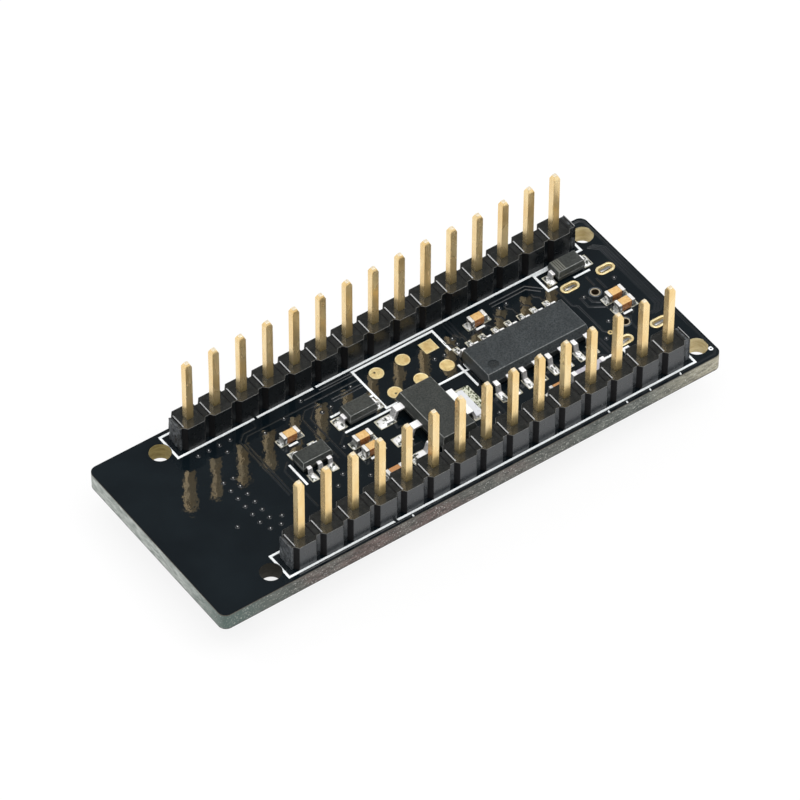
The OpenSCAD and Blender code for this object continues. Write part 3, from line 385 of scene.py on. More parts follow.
def make_metal(
    name, color, dark, roughness, size=0.4, depth=0.01, metallic=1.0, steep=None, foot=None
):
    """A bright metal with patches and slight dents.

    Its steep faces may mirror more and take a darker colour, a painted reflection of the dark board, and
    its foot on the board may be tinted."""
    finish = Finish(name, color, roughness, metallic=metallic)
    patches = finish.noise(size, 4.0)
    body = finish.color(patches, (0.33, dark), (0.6, color))
    if foot:
        body = finish.mix(finish.along("Z", 0.35, 0.25), body, foot)
    # Painted reflection: steep faces are painted the darker steep colour
    if steep:
        slope = finish.steepness()
        body = finish.mix(slope, body, steep)
        finish.feed(finish.skin, {"Metallic": finish.spread(slope, metallic, 0.6, 0.0, 1.0)})
    finish.paint(body)
    finish.gloss(finish.spread(finish.noise(size * 0.6, 3.0), roughness * 0.7, roughness * 1.3))
    finish.bump(finish.noise(size * 1.2, 2.0), depth)
    return finish.material


def make_solder(name, size, dark, middle, pale, steep):
    """Bright solder with painted reflections of the black board: dark streaks, and a darker colour on its
    steep faces.
    """
    finish = Finish(name, pale, 0.15, metallic=0.2)
    painted_reflection_streaks = finish.noise(size, 3.0, (1.0, 1.6, 1.0), 0.6)
    body = finish.color(painted_reflection_streaks, (0.42, dark), (0.46, middle), (0.52, pale))
    # Painted reflection: steep faces are painted the darker steep colour
    finish.paint(finish.mix(finish.steepness(0.3, 0.6), body, steep))
    finish.bump(finish.noise(0.48, 2.0), 0.04)
    return finish.material


def make_moulded(name, dark, pale, roughness, grain=0.07, depth=0.004, near=None, ior=1.5):
    """Moulded plastic or ceramic with a fine grain and soft clouds, and another tint near the front."""
    finish = Finish(name, pale, roughness, ior=ior)
    fine = finish.noise(grain, 3.0)
    cloud = finish.noise(1.6, 3.0)
    body = finish.color(fine, (0.3, dark), (0.7, pale))
    if near:
        body = finish.mix(finish.along("Y", NEAR_Y + 0.1, NEAR_Y - 0.1), body, near)
    finish.paint(finish.mix(finish.spread(cloud, 0.0, 0.3), body, dark))
    finish.gloss(finish.spread(fine, roughness * 0.85, roughness * 1.15))
    finish.bump(fine, depth)
    return finish.material


def make_header_plastic(name, dark, pale, smooth, dull, relief, ior):
    """Glossy black strip plastic, scuffed grey at the broken ends."""
    finish = Finish(name, pale, smooth, ior=ior)
    end = PIN_COUNT * PIN_PITCH / 2
    left = finish.along("X", HEADER_SHIFT - end + 0.2, HEADER_SHIFT - end + 0.05)
    right = finish.along("X", HEADER_SHIFT + end - 0.05, HEADER_SHIFT + end + 0.1)
    broken = finish.combine("MAXIMUM", left, right)
    scuffs = finish.spread(finish.noise(0.35, 5.0, (1.0, 1.0, 1.4), 0.7), 0.0, 1.0, 0.4, 0.62)
    scuffed = finish.times(broken, scuffs)
    cloud = finish.noise(0.5, 4.0)
    ground = finish.color(cloud, (0.35, dark), (0.65, pale))
    finish.paint(finish.mix(scuffed, ground, (0.1, 0.11, 0.12)))
    finish.gloss(finish.spread(cloud, smooth, dull))
    finish.bump(finish.noise(0.9, 2.0), relief)
    finish.bump(scuffed, 0.02)
    return finish.material


coating = make_coating("board_coating", (0.003, 0.006, 0.0085), (0.005, 0.009, 0.012))
# Painted highlight: a much paler coating for the raised rings round the peg holes
ring_coat_highlight = make_coating("ring_coat_highlight", (0.03, 0.04, 0.05), (0.07, 0.085, 0.1))
coated_copper = make_coating("coated_copper", (0.01, 0.0135, 0.016), (0.015, 0.018, 0.021))
# One glass epoxy in two copies: the long sides' copy is painted much darker than the ends' copy, as
# painted shade
end_epoxy = make_glass_epoxy(
    "end_epoxy", (0.17, 0.2, 0.18), (0.5, 0.53, 0.5), (0.22, 0.22, 0.17), (0.42, 0.43, 0.37)
)
shaded_side_epoxy = make_glass_epoxy(
    "shaded_side_epoxy", (0.043, 0.052, 0.045), (0.13, 0.14, 0.122), (0.049, 0.034, 0.029), (0.15, 0.106, 0.093)
)
hole_wall = make_hole_wall()
print_ink = make_clouded(
    "print_ink", (0.86, 0.91, 0.93), (0.96, 0.99, 1.0), 0.25, 4.0, (0.3, 0.5), 0.5, depth=0.008
)
gilt = make_gilt("gilt_copper", (0.9, 0.73, 0.36), (0.67, 0.48, 0.2), 0.34)
pin_gilt = make_pin_gilt()
# Painted highlight: a paler gilt for the programming pads' rims
gilt_edge_highlight = make_gilt("gilt_edge_highlight", (1.0, 0.92, 0.62), (1.0, 0.82, 0.45), 0.3)
pad_rim = make_gilt("pad_rim", (0.76, 0.74, 0.62), (0.36, 0.34, 0.25), 0.3)
# The steep colours given here are painted reflections of the dark board on the metal's steep faces
rim_gilt = make_metal(
    "rim_gilt", (1.0, 0.86, 0.5), (0.9, 0.68, 0.32), 0.25, 0.5, 0.01, 0.4, (0.4, 0.3, 0.12)
)
bright = (0.98, 0.98, 0.98)
solder = make_solder(
    "solder", 0.26, (0.04, 0.045, 0.04), (0.36, 0.38, 0.34), (0.97, 0.97, 0.97), (0.3, 0.31, 0.3)
)
# The steep colours given here are painted reflections of the dark board on the metal's steep faces
tin = make_metal(
    "tinned_lead", bright, (0.93, 0.92, 0.94), 0.36, 0.3, 0.006, 0.05, (0.62, 0.62, 0.63)
)
tab_tin = make_metal(
    "tab_tin", bright, (0.9, 0.95, 0.91), 0.36, 0.6, 0.006, 0.05, (0.7, 0.7, 0.74), (0.74, 0.76, 0.79)
)
silver_end = make_metal("silver_end", (0.95, 0.94, 0.92), (0.82, 0.81, 0.78), 0.4, 0.25, 0.008, 0.3)
# Painted reflection: the end caps' upright sides are the same metal painted darker, as a reflection of the
# dark board, and made more mirror-like
shaded_silver_side = make_metal("shaded_silver_side", (0.6, 0.6, 0.58), (0.36, 0.36, 0.35), 0.22, 0.3, 0.02, 0.8)
flux_solder = make_solder(
    "flux_solder", 0.16, (0.05, 0.06, 0.03), (0.24, 0.26, 0.15), (0.8, 0.82, 0.68), (0.36, 0.38, 0.29)
)
steel = make_metal("socket_steel", (0.74, 0.75, 0.76), (0.64, 0.65, 0.66), 0.28, 1.2, 0.01)
chip_plastic = make_moulded("chip_plastic", (0.01, 0.015, 0.018), (0.06, 0.07, 0.076), 0.5, 0.12, 0.006)
# Painted highlight: a paler copy of the chip plastic for its rounded edges
chip_edge_highlight = make_moulded("chip_edge_highlight", (0.07, 0.08, 0.084), (0.19, 0.2, 0.205), 0.3, 0.2)
dimple_plastic = make_moulded("dimple_plastic", (0.014, 0.018, 0.02), (0.035, 0.04, 0.043), 0.3)
dark_plastic = make_moulded("dark_plastic", (0.014, 0.018, 0.016), (0.08, 0.085, 0.08), 0.48, 0.12, 0.006)
regulator_plastic = make_moulded(
    "regulator_plastic", (0.012, 0.016, 0.015), (0.064, 0.069, 0.065), 0.48, 0.12, 0.006
)
# Painted highlight: a paler copy of the dark plastic for rounded edges
dark_edge_highlight = make_moulded("dark_edge_highlight", (0.12, 0.13, 0.125), (0.34, 0.35, 0.34), 0.2, 0.2)
black_plastic = make_moulded("black_plastic", (0.01, 0.01, 0.01), (0.025, 0.025, 0.026), 0.38)
# One strip plastic in two copies: the near row's sides are painted paler and reflect more, the far row's
# are painted darker and reflect less, as painted light and shade
lit_header_near = make_header_plastic(
    "lit_header_plastic_near", (0.016, 0.019, 0.022), (0.022, 0.026, 0.03), 0.26, 0.32, 0.002, 1.58
)
shaded_header_far = make_header_plastic(
    "shaded_header_plastic_far", (0.004, 0.006, 0.007), (0.007, 0.009, 0.011), 0.26, 0.32, 0.002, 1.36
)
header_top = make_header_plastic(
    "header_top", (0.013, 0.014, 0.013), (0.022, 0.023, 0.022), 0.17, 0.26, 0.006, 1.55
)
groove_shine = make_clouded(
    "groove_shine", (0.01, 0.011, 0.012), (0.02, 0.021, 0.022), 0.6, 3.0, (0.35, 0.65), 0.1,
    gloss=(0.08, 0.14), ior=1.65,
)
groove_matt = make_moulded("groove_matt", (0.004, 0.004, 0.005), (0.009, 0.009, 0.01), 0.85, ior=1.35)
# Painted highlight: a paler plastic for the strips' rounded top edges
header_edge_highlight = make_moulded("header_edge_highlight", (0.08, 0.08, 0.078), (0.21, 0.21, 0.2), 0.3, 0.3)
tan_ceramic = make_moulded(
    "tan_ceramic", (0.62, 0.36, 0.12), (0.82, 0.56, 0.25), 0.4, 0.12, near=(0.52, 0.24, 0.09)
)
# The capacitors' upright sides are painted a darker, redder tan: partly the layered ceramic's own tint,
# partly painted shade
shaded_redder_tan_side = make_moulded("shaded_redder_tan_side", (0.26, 0.1, 0.03), (0.46, 0.2, 0.07), 0.3, 0.12)
resonator_ceramic = make_moulded("resonator_ceramic", (0.42, 0.4, 0.46), (0.62, 0.6, 0.66), 0.4, 0.1)
base_ceramic = make_moulded("base_ceramic", (0.34, 0.26, 0.14), (0.55, 0.44, 0.26), 0.45, 0.1)
white_plastic = make_moulded("white_plastic", (0.7, 0.69, 0.66), (0.86, 0.85, 0.82), 0.4, 0.15)
button_plastic = make_moulded("button_plastic", (0.7, 0.68, 0.62), (0.85, 0.83, 0.77), 0.35, 0.15)
band_ink = make_moulded("band_ink", (0.16, 0.16, 0.13), (0.3, 0.3, 0.25), 0.5, 0.1)
lip_epoxy = make_moulded("lip_epoxy", (0.3, 0.25, 0.17), (0.5, 0.45, 0.35), 0.45, 0.1)
# Painted shade: near black for the peg holes' walls and for the spots that stand for holes
painted_hole_shade = make_moulded("painted_hole_shade", (0.03, 0.02, 0.01), (0.07, 0.045, 0.022), 0.5, 0.1)
lens_resin = make_clouded(
    "lens_resin", (0.8, 0.86, 0.7), (0.93, 0.95, 0.88), 0.5, 2.0, (0.3, 0.7), 0.15, (0.1, 0.22),
    clear=0.75,
)


# Pieces


def add_object(name, data):
    thing = bpy.data.objects.new(name, data)
    bpy.context.scene.collection.objects.link(thing)
    return thing


def add_piece(name, shape, finishes, body=BODY, replaces=(), even=False, turn=SHARP_TURN):
    """Turns a bmesh in metres into a piece that rides on a body; edges turning more stay sharp."""
    bmesh.ops.recalc_face_normals(shape, faces=shape.faces)
    for face in shape.faces:
        face.smooth = True
    for edge in shape.edges:
        edge.smooth = len(edge.link_faces) == 2 and edge.calc_face_angle(0.0) < turn
    mesh = bpy.data.meshes.new(name)
    shape.to_mesh(mesh)
    shape.free()
    for finish in finishes:
        mesh.materials.append(finish)
    piece = add_object(name, mesh)
    if even:
        normals = piece.modifiers.new("Even normals", "WEIGHTED_NORMAL")
        normals.keep_sharp = True
    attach(piece, body)
    if replaces:
        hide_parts(*replaces)


def node_shape(node, flatten=True):
    """A CAD node's shape as a bmesh, its triangles joined into flat faces."""
    shape = bmesh.new()
    shape.from_mesh(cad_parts[node].data)
    bmesh.ops.remove_doubles(shape, verts=shape.verts, dist=0.0005 * MM)
    if flatten:
        bmesh.ops.dissolve_limit(
            shape, angle_limit=math.radians(0.5), verts=shape.verts, edges=shape.edges
        )
    return shape


def bevel_edges(shape, width, segments, slot=-1, turn=ROUND_TURN, shortest=0.0):
    """Rounds a shape's sharp edges; slot gives the rounding a material slot of its own."""
    sharp = [
        edge
        for edge in shape.edges
        if len(edge.link_faces) == 2 and edge.calc_face_angle(0.0) > turn
        and edge.calc_length() > shortest * MM
    ]
    bmesh.ops.bevel(
        shape, geom=sharp, offset=width * MM, segments=segments, profile=0.5,
        affect="EDGES", clamp_overlap=True, material=slot,
    )


def soften(
    node, width, finish, segments=2, flatten=True, body=BODY, edge=None, sides=None, shortest=0.0
):
    """Replaces a CAD node by the same shape with its sharp edges rounded.

    The rounded edges may take a paler finish, a painted highlight, and the upright sides a darker finish
    of their own, which paints shade on them."""
    shape = node_shape(node, flatten)
    for face in shape.faces:
        face.material_index = 1 if sides and abs(face.normal.z) < 0.5 else 0
    bevel_edges(shape, width, segments, 1 if edge else -1, shortest=shortest)
    finishes = [finish] + [other for other in (edge or sides,) if other]
    add_piece(node + "_dressed", shape, finishes, body, [node], even=True)


def dress(node, finish):
    """Gives a CAD node that keeps its shape its finish."""
    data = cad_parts[node].data
    data.materials.clear()
    data.materials.append(finish)


def make_board():
    """The board, with a narrow bare rim along its sawn and drilled edges."""
    shape = node_shape("circuit_board", flatten=False)
    bevel_edges(shape, 0.03, 1)
    for face in shape.faces:
        middle = face.calc_center_median() / MM
        if abs(face.normal.z) > 0.9:
            slot = BOARD_FLAT
        elif any(math.hypot(middle.x - PEG_X, middle.y - y) < PEG_ZONE for y in PEG_YS):
            # The peg holes' walls take the near-black painted shade
            slot = BOARD_PEG
        elif abs(middle.x) < HOLE_ZONE_X and abs(middle.y) < HOLE_ZONE_Y:
            slot = BOARD_HOLE
        else:
            # Faces along the long sides take the darker epoxy copy, painted shade; faces at the ends take
            # the paler one
            slot = BOARD_END if abs(face.normal.x) > abs(face.normal.y) else BOARD_SIDE
        face.material_index = slot
    finishes = [coating, end_epoxy, shaded_side_epoxy, hole_wall, painted_hole_shade]
    add_piece("board_dressed", shape, finishes, replaces=["circuit_board"])


def face_point(x, y, height, side):
    """A point at a height above one of the board's faces: side is 1 for the pin side, else -1."""
    face = PIN_FACE if side > 0 else HIDDEN_FACE
    return Vector((x, y, face + side * height)) * MM


def join_rings(shape, rings):
    """Faces between each ring of corners and the next."""
    for first, second in zip(rings, rings[1:]):
        for k in range(len(first)):
            after = (k + 1) % len(first)
            shape.faces.new([first[k], first[after], second[after], second[k]])


def add_ribbon(shape, points, width, height, side=1, slope=0.03):
    """A raised band along a bent line on a face of the board, with sloping sides."""
    points = [Vector(p) for p in points]
    rings = []
    for i, point in enumerate(points):
        before = (point - points[i - 1]).normalized() if i else None
        after = (points[i + 1] - point).normalized() if i + 1 < len(points) else None
        along = (before + after).normalized() if before and after else (before or after)
        across = Vector((-along.y, along.x))
        miter = across.dot(Vector((-(before or after).y, (before or after).x)))
        reach = across * (width / 2 / max(miter, 0.5))
        crest = across * ((width / 2 - slope) / max(miter, 0.5))
        corners = ((reach, 0.0), (crest, height), (-crest, height), (-reach, 0.0))
        rings.append([shape.verts.new(face_point(*(point + way), up, side)) for way, up in corners])
    join_rings(shape, rings)
    shape.faces.new(rings[0])
    shape.faces.new(rings[-1][::-1])


def add_turned(shape, x, y, profile, steps=16, stretch=0.0):
    """A closed ring turned from a profile of (radius, height) points, its halves stretched apart."""
    rings = []
    for k in range(steps):
        turn = 2 * math.pi * (k + 0.5) / steps
        middle = x + math.copysign(stretch, math.cos(turn))
        rings.append([
            shape.verts.new(face_point(middle + r * math.cos(turn), y + r * math.sin(turn), h, 1))
            for r, h in profile
        ])
    join_rings(shape, rings + rings[:1])


def add_disc(shape, x, y, radius, height, steps=16):
    """A low closed disc with a sloping rim."""
    turns = [2 * math.pi * k / steps for k in range(steps)]
    rings = [
        [shape.verts.new(face_point(x + r * math.cos(a), y + r * math.sin(a), h, 1)) for a in turns]
        for r, h in ((radius, 0.0), (radius * 0.8, height))
    ]
    join_rings(shape, rings)
    shape.faces.new(rings[1])
    shape.faces.new(rings[0][::-1])


def add_patch(shape, point, steps_u, steps_v):
    """A closed sheet: point(u, v, deep) gives its outer skin, or its foot where deep is true."""
    skin = {
        (i, j): shape.verts.new(point(i / steps_u, j / steps_v, False))
        for i in range(steps_u + 1)
        for j in range(steps_v + 1)
    }
    rim = [(i, 0) for i in range(steps_u)] + [(steps_u, j) for j in range(steps_v)]
    rim += [(i, steps_v) for i in range(steps_u, 0, -1)] + [(0, j) for j in range(steps_v, 0, -1)]
    foot = {key: shape.verts.new(point(key[0] / steps_u, key[1] / steps_v, True)) for key in rim}
    for i in range(steps_u):
        for j in range(steps_v):
            corners = [(i, j), (i + 1, j), (i + 1, j + 1), (i, j + 1)]
            shape.faces.new([skin[key] for key in corners])
    for a, b in zip(rim, rim[1:] + rim[:1]):
        shape.faces.new([skin[a], foot[a], foot[b], skin[b]])
    shape.faces.new([foot[key] for key in rim])


def add_mound(shape, box, profile, side=1, steps=7, round_in=0.1):
    """A closed mound over a box (x0, x1, y0, y1) on a face; profile gives its height."""
    x0, x1, y0, y1 = box

    def point(u, v, deep):
        a, b = 2 * u - 1, 2 * v - 1
        x = (x0 + x1) / 2 + (x1 - x0) / 2 * a * math.sqrt(1 - round_in * b * b)
        y = (y0 + y1) / 2 + (y1 - y0) / 2 * b * math.sqrt(1 - round_in * a * a)
        return face_point(x, y, 0.0 if deep else profile(u, v), side)

    add_patch(shape, point, steps, steps)


def lumps(x, y, z=0.0):
    """A smooth value from about -1 to 1 that varies with place, for uneven skins."""
    return noise.noise(Vector((x, y, z + 0.5)))


def around(box, margin):
    """A box (x0, x1, y0, y1) with a margin on every side."""
    return box[0] - margin, box[1] + margin, box[2] - margin, box[3] + margin


def foot_profile(seed, toe, reach, tall):
    """Solder round a lead's foot along u: high beside the foot, falling off to the toe."""

    def height(u, v):
        along = u if toe > 0 else 1 - u
        slope = 1 - max(0.0, (along - reach) / (1 - reach)) ** 1.6
        sides = 1 - abs(2 * v - 1) ** 3
        heel = min(1.0, 0.3 + along * 5)
        rough = 1 + 0.7 * lumps(seed + 3 * u, seed - 2 * v)
        return SKIN_H + tall * slope * sides * heel * rough

    return height


def end_profile(seed, outward, tall):
    """Solder that climbs a chip part's end: tall against it, thin at the pad's edge."""

    def height(u, v):
        away = u if outward > 0 else 1 - u
        sides = 1 - 0.7 * abs(2 * v - 1) ** 3
        rough = 1 + 0.5 * lumps(seed + 2 * u, seed - 2 * v)
        return SKIN_H + tall * (1 - away) ** 1.5 * sides * rough

    return height


class Soldering:
    """Bare pads and solder of one side of the board, gathered into two pieces."""

    def __init__(self, side):
        self.side = side
        self.metal = bmesh.new()
        self.pads = bmesh.new()

    def pad(self, box):
        add_mound(self.pads, box, lambda u, v: PAD_T, self.side, steps=4, round_in=0.05)

    def foot(self, x, y, direction, start, end, width, tall, reach=0.45):
        """Solder round a lead that points along direction (x or y), from start to end."""
        low, high = sorted((start, end))
        profile = foot_profile(x * 1.7 + y, end - start, reach, tall)
        if direction == "x":
            box = (x + low, x + high, y - width / 2, y + width / 2)
            add_mound(self.metal, box, profile, self.side)
        else:
            box = (x - width / 2, x + width / 2, y + low, y + high)
            add_mound(self.metal, box, lambda u, v: profile(v, u), self.side)
        self.pad(around(box, PAD_RIM))

    def chip_end(self, x, y, out, width, tall):
        """Solder on the end of a chip part: its end face lies at x, its pad reaches out from there."""
        low, high = y - width / 2, y + width / 2
        profile = end_profile(x + y * 1.3, out, tall)
        add_mound(self.metal, (*sorted((x, x + out)), low, high), profile, self.side)
        under = x - math.copysign(PAD_UNDER, out)
        over = x + out + math.copysign(PAD_RIM, out)
        self.pad((*sorted((under, over)), low - PAD_RIM, high + PAD_RIM))

    def both_ends(self, first, second, out, tall):
        """Solder on both ends of a chip part, given the boxes that hold its left and right ends."""
        y, width = (first[0].y + first[1].y) / 2, first[1].y - first[0].y
        self.chip_end(first[0].x, y, -out, width, tall)
        self.chip_end(second[1].x, y, out, width, tall)

    def finish(self, name):
        add_piece(name + "_solder", self.metal, [solder])
        add_piece(name + "_pads", self.pads, [pad_rim])


def node_parts(node):
    """Low and high corners, in millimetres, of each loose solid of a CAD node."""
    shape = node_shape(node, flatten=False)
    boxes, seen = [], set()
    for start in shape.verts:
        if start in seen:
            continue
        group, todo = [], [start]
        seen.add(start)
        while todo:
            vert = todo.pop()
            group.append(vert.co / MM)
            for edge in vert.link_edges:
                other = edge.other_vert(vert)
                if other not in seen:
                    seen.add(other)
                    todo.append(other)
        boxes.append([Vector([pick(p[k] for p in group) for k in range(3)]) for pick in (min, max)])
    shape.free()
    return boxes


def solder_chip_ends(work, node, out=0.32, tall=0.5):
    """Solder on the ends of every chip part of a node that holds the parts' ends."""
    ends = sorted(node_parts(node), key=lambda box: (round(box[0].y, 2), box[0].x))
    for first, second in zip(ends[::2], ends[1::2]):
        work.both_ends(first, second, out, tall)


def node_middle(node):
    """The middle of a CAD node seen from above, in millimetres."""
    low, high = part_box(node)
    return (low.x + high.x) / 2 / MM, (low.y + high.y) / 2 / MM


def solder_pin_side():
    """Solder of the pin side, as the photograph shows it."""
    work = Soldering(1)
    x, y = node_middle("serial_chip_leads")
    for k in range(8):
        lead = x + (k - 3.5) * SERIAL_PITCH
        work.foot(lead, y, "y", -2.4, -3.55, 0.6, 0.19)
        work.foot(lead, y, "y", 2.75, 3.5, 0.5, 0.17, 0.3)
    x, y = node_middle("radio_regulator_body")
    for k in (-1, 0, 1):
        work.foot(x + k * RADIO_PITCH, y, "y", -1.0, -1.85, 0.6, 0.17)
    for k in (-1, 1):
        work.foot(x + k * RADIO_PITCH, y, "y", 1.0, 1.7, 0.6, 0.15)
    x, y = node_middle("signal_diode_body")
    work.foot(x, y + 0.05, "x", -1.45, -2.25, 1.25, 0.24)
    work.foot(x, y, "x", 1.45, 2.15, 1.0, 0.22)
    x, y = node_middle("power_diode_body")
    work.foot(x, y - 0.1, "x", -1.4, -2.1, 1.1, 0.22)
    work.foot(x, y, "x", 1.45, 2.25, 1.2, 0.24)
    x, y = node_middle("main_regulator_body")
    for k in (-1, 0, 1):
        work.foot(x, y + k * MAIN_PITCH, "x", -2.6, -4.1, 1.0, 0.2)
    work.foot(x, y, "x", 2.5, 3.95, 3.55, 0.11, 0.6)
    solder_chip_ends(work, "capacitor_ends")
    fill_slots(work.metal)
    work.finish("pin_side")
    add_flux(x, y)


def add_flux(x, y):
    """The rough edge of the solder beyond the main regulator's tab, dull with flux."""
    shape = bmesh.new()
    box = (x + FLUX_XS[0], x + FLUX_XS[1], y - FLUX_HALF, y + FLUX_HALF)
    add_mound(shape, box, lambda u, v: FLUX_H + 0.05 * lumps(9 * u, 24 * v), steps=16)
    add_piece("tab_flux", shape, [flux_solder])


def fill_slots(shape):
    """Solder sunk in the four slots, round the legs of the socket's shell."""
    for low, high in node_parts("usb_slot_linings"):
        cx, cy = (low.x + high.x) / 2, (low.y + high.y) / 2
        ax, ay = (high.x - low.x) / 2 - SLOT_RIM, (high.y - low.y) / 2 - SLOT_RIM

        def point(u, v, deep):
            a, b = 2 * u - 1, 2 * v - 1
            x = cx + ax * a * math.sqrt(1 - 0.1 * b * b)
            y = cy + ay * b * (1 - 0.5 * a ** 6)
            height = SLOT_FOOT_H if deep else SLOT_FILL_H + 0.2 * lumps(x * 4, y * 4)
            return face_point(x, y, height, 1)

        add_patch(shape, point, 8, 6)


def add_pad_rims():
    """Raised rims round the programming pads, one of them square, painted paler than the pads as a
    highlight.
    """
    shape = bmesh.new()
    low_crest = PAD_HOLE_H - 0.005
    crest = low_crest + 0.02
    for low, high in node_parts("programming_pads"):
        radius = (high.x - low.x) / 2
        middle = (low + high) / 2
        if middle.x > SQUARE_PAD[0] and middle.y > SQUARE_PAD[1]:
            reach = radius - PAD_EDGE / 2
            line = [(middle.x + a * reach, middle.y + b * reach) for a, b in SQUARE + SQUARE[:1]]
            add_ribbon(shape, line, PAD_EDGE, crest)
        else:
            profile = [(radius - PAD_EDGE, low_crest), (radius - PAD_EDGE / 2, crest), (radius, 0.0)]
            add_turned(shape, middle.x, middle.y, profile, 32)
    add_piece("programming_pad_rims", shape, [gilt_edge_highlight])


def add_slot_rims():
    """Rounded gilt rims round the four slots of the socket."""
    shape = bmesh.new()
    for low, high in node_parts("usb_slot_linings"):
        radius = (high.y - low.y) / 2
        profile = [(radius + inward, height) for inward, height in SLOT_CREST]
        middle = (low + high) / 2
        add_turned(shape, middle.x, middle.y, profile, 32, (high.x - low.x) / 2 - radius)
    add_piece("slot_rims", shape, [rim_gilt])


def add_rough_end(shape, x, y, outward, depth):
    """The ragged face left where a strip was broken off."""
    width, foot, tall = NECK_W + 0.1, 0.04, STRIP_H - 0.16

    def point(u, v, deep):
        across = (u - 0.5) * width
        up = foot + v * tall
        rough = 0.45 + 0.6 * lumps(across * 2.2 + x, up * 1.7, y) + 0.4 * lumps(across * 6, up * 5, x)
        reach = -0.05 if deep else depth * max(0.0, min(1.0, rough))
        wander = 0 if deep else 0.05 * lumps(up * 5, x, y)
        return Vector((x + outward * reach, y + across + wander, up)) * MM

    add_patch(shape, point, 12, 16)


def strip_slot(face):
    """Which of a strip's finishes a face takes: sides, tops, and the two slopes of its grooves."""
    if face.normal.z > 0.95:
        return STRIP_TOP
    if 0.7 < face.normal.z and abs(face.normal.y) < 0.1:
        return STRIP_SHINE if face.normal.x < 0 else STRIP_MATT
    chamfer = abs(face.normal.z) < 0.3 and 0.2 < abs(face.normal.x) < 0.98
    return STRIP_MATT if chamfer else STRIP_SIDE


def dull_slope_feet(shape):
    """Cuts each polished slope of a strip's grooves, so that only its upper part shines."""
    slopes = [face for face in shape.faces if face.material_index == STRIP_SHINE]
    parts = [part for face in slopes for part in (face, *face.edges, *face.verts)]
    cut = Vector((0.0, 0.0, STRIP_H - SHINE_DROP)) * MM
    bmesh.ops.bisect_plane(
        shape, geom=list(dict.fromkeys(parts)), plane_co=cut, plane_no=(0.0, 0.0, 1.0)
    )
    for face in shape.faces:
        if face.material_index == STRIP_SHINE and face.calc_center_median().z < cut.z:
            face.material_index = STRIP_MATT


def make_strips():
    """The two header strips, with rounded edges and ragged ends."""
    for row, y, sides in (("near", -ROW_Y, lit_header_near), ("far", ROW_Y, shaded_header_far)):
        node = "header_strip_" + row
        low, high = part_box(node)
        shape = node_shape(node)
        for face in shape.faces:
            face.material_index = strip_slot(face)
        dull_slope_feet(shape)
        bevel_edges(shape, 0.035, 1, STRIP_EDGE, GROOVE_TURN)
        # Only the rounded edges near the tops keep the paler edge finish, a painted highlight
        for face in shape.faces:
            if face.material_index == STRIP_EDGE and abs(face.normal.z) < 0.3:
                face.material_index = STRIP_SIDE
        add_rough_end(shape, low.x / MM, y, -1, ROUGH_END)
        add_rough_end(shape, high.x / MM, y, 1, ROUGH_END / 2)
        finishes = [sides, header_top, groove_shine, groove_matt, header_edge_highlight]
        name = node + "_dressed"
        add_piece(name, shape, finishes, BODY, [node], True, CRISP_TURN)


def make_serial_body():
    """The serial chip's body, with a smoother floor in its dimple."""
    node = "serial_chip_body"
    shape = node_shape(node)
    top = max(vert.co.z for vert in shape.verts)
    for face in shape.faces:
        drop = (top - face.calc_center_median().z) / MM
        sunk = DIMPLE_DROP[0] < drop < DIMPLE_DROP[1]
        face.material_index = 1 if sunk and face.normal.z > 0.95 else 0
    # The rounded edges take slot 2, the paler edge finish: a painted highlight
    bevel_edges(shape, 0.055, 1, 2, shortest=STRAIGHT)
    finishes = [chip_plastic, dimple_plastic, chip_edge_highlight]
    add_piece(node + "_dressed", shape, finishes, BODY, [node], True)


def radio_traces():
    """Lines of the radio's half of the board, on the headers' grid."""
    return [
        [(-14.76, -2.0), (-14.76, 4.9), (-14.1, 5.5), (-12.95, 5.5), (-12.75, 5.7), (-12.75, 6.2)],
        [(-14.46, -2.0), (-14.46, 4.65), (-13.97, 5.12), (-3.35, 5.12)],
        [(-9.4, -1.0), (-9.4, 4.1), (-8.72, 4.75), (-7.5, 4.75)],
        [(-8.82, -1.2), (-8.82, 3.75), (-8.1, 4.45), (-7.3, 4.45)],
        [(-6.78, 3.8), (-7.1, 3.5), (-7.1, 2.95)],
        [(-13.64, -4.2), (-13.64, 0.35), (-12.9, 1.05)],
        [(-8.5, 0.1), (-7.55, 0.95)],
        [(-8.1, 5.72), (-3.35, 5.72)],
        [(-6.5, 5.98), (-3.35, 5.98)],
        [(-6.25, 4.58), (-3.35, 4.58)],
        [(-6.25, 4.28), (-3.4, 4.28)],
    ]


def serial_traces():
    """Lines round the serial chip, on the headers' grid."""
    lines = [
        [(10.0, 5.4), (13.4, 5.4), (14.3, 4.5)],
        [(10.0, 5.75), (13.55, 5.75), (14.65, 4.65)],
        [(13.5, -2.9), (13.5, -4.0), (14.05, -4.55)],
        [(13.9, -2.7), (13.9, -3.85), (14.45, -4.4)],
        [(14.68, -2.7), (14.68, -4.3)],
        [(15.0, -2.4), (15.0, -4.3)],
        [(4.15, -5.2), (4.15, -1.0), (4.55, -0.6), (4.55, 2.2)],
    ]
    for k in range(3):
        lines.append([(5.65 + 0.3 * k, 6.1), (5.65 + 0.3 * k, 4.1 - 0.2 * k)])
    for k in range(8):
        x = 9.37 + (k - 3.5) * SERIAL_PITCH
        rise = 3.75 + 0.22 * (k % 3)
        lines.append([(x, 3.3), (x, rise), (x - 0.35, rise + 0.35), (x - 0.35, rise + 0.7)])
    return lines


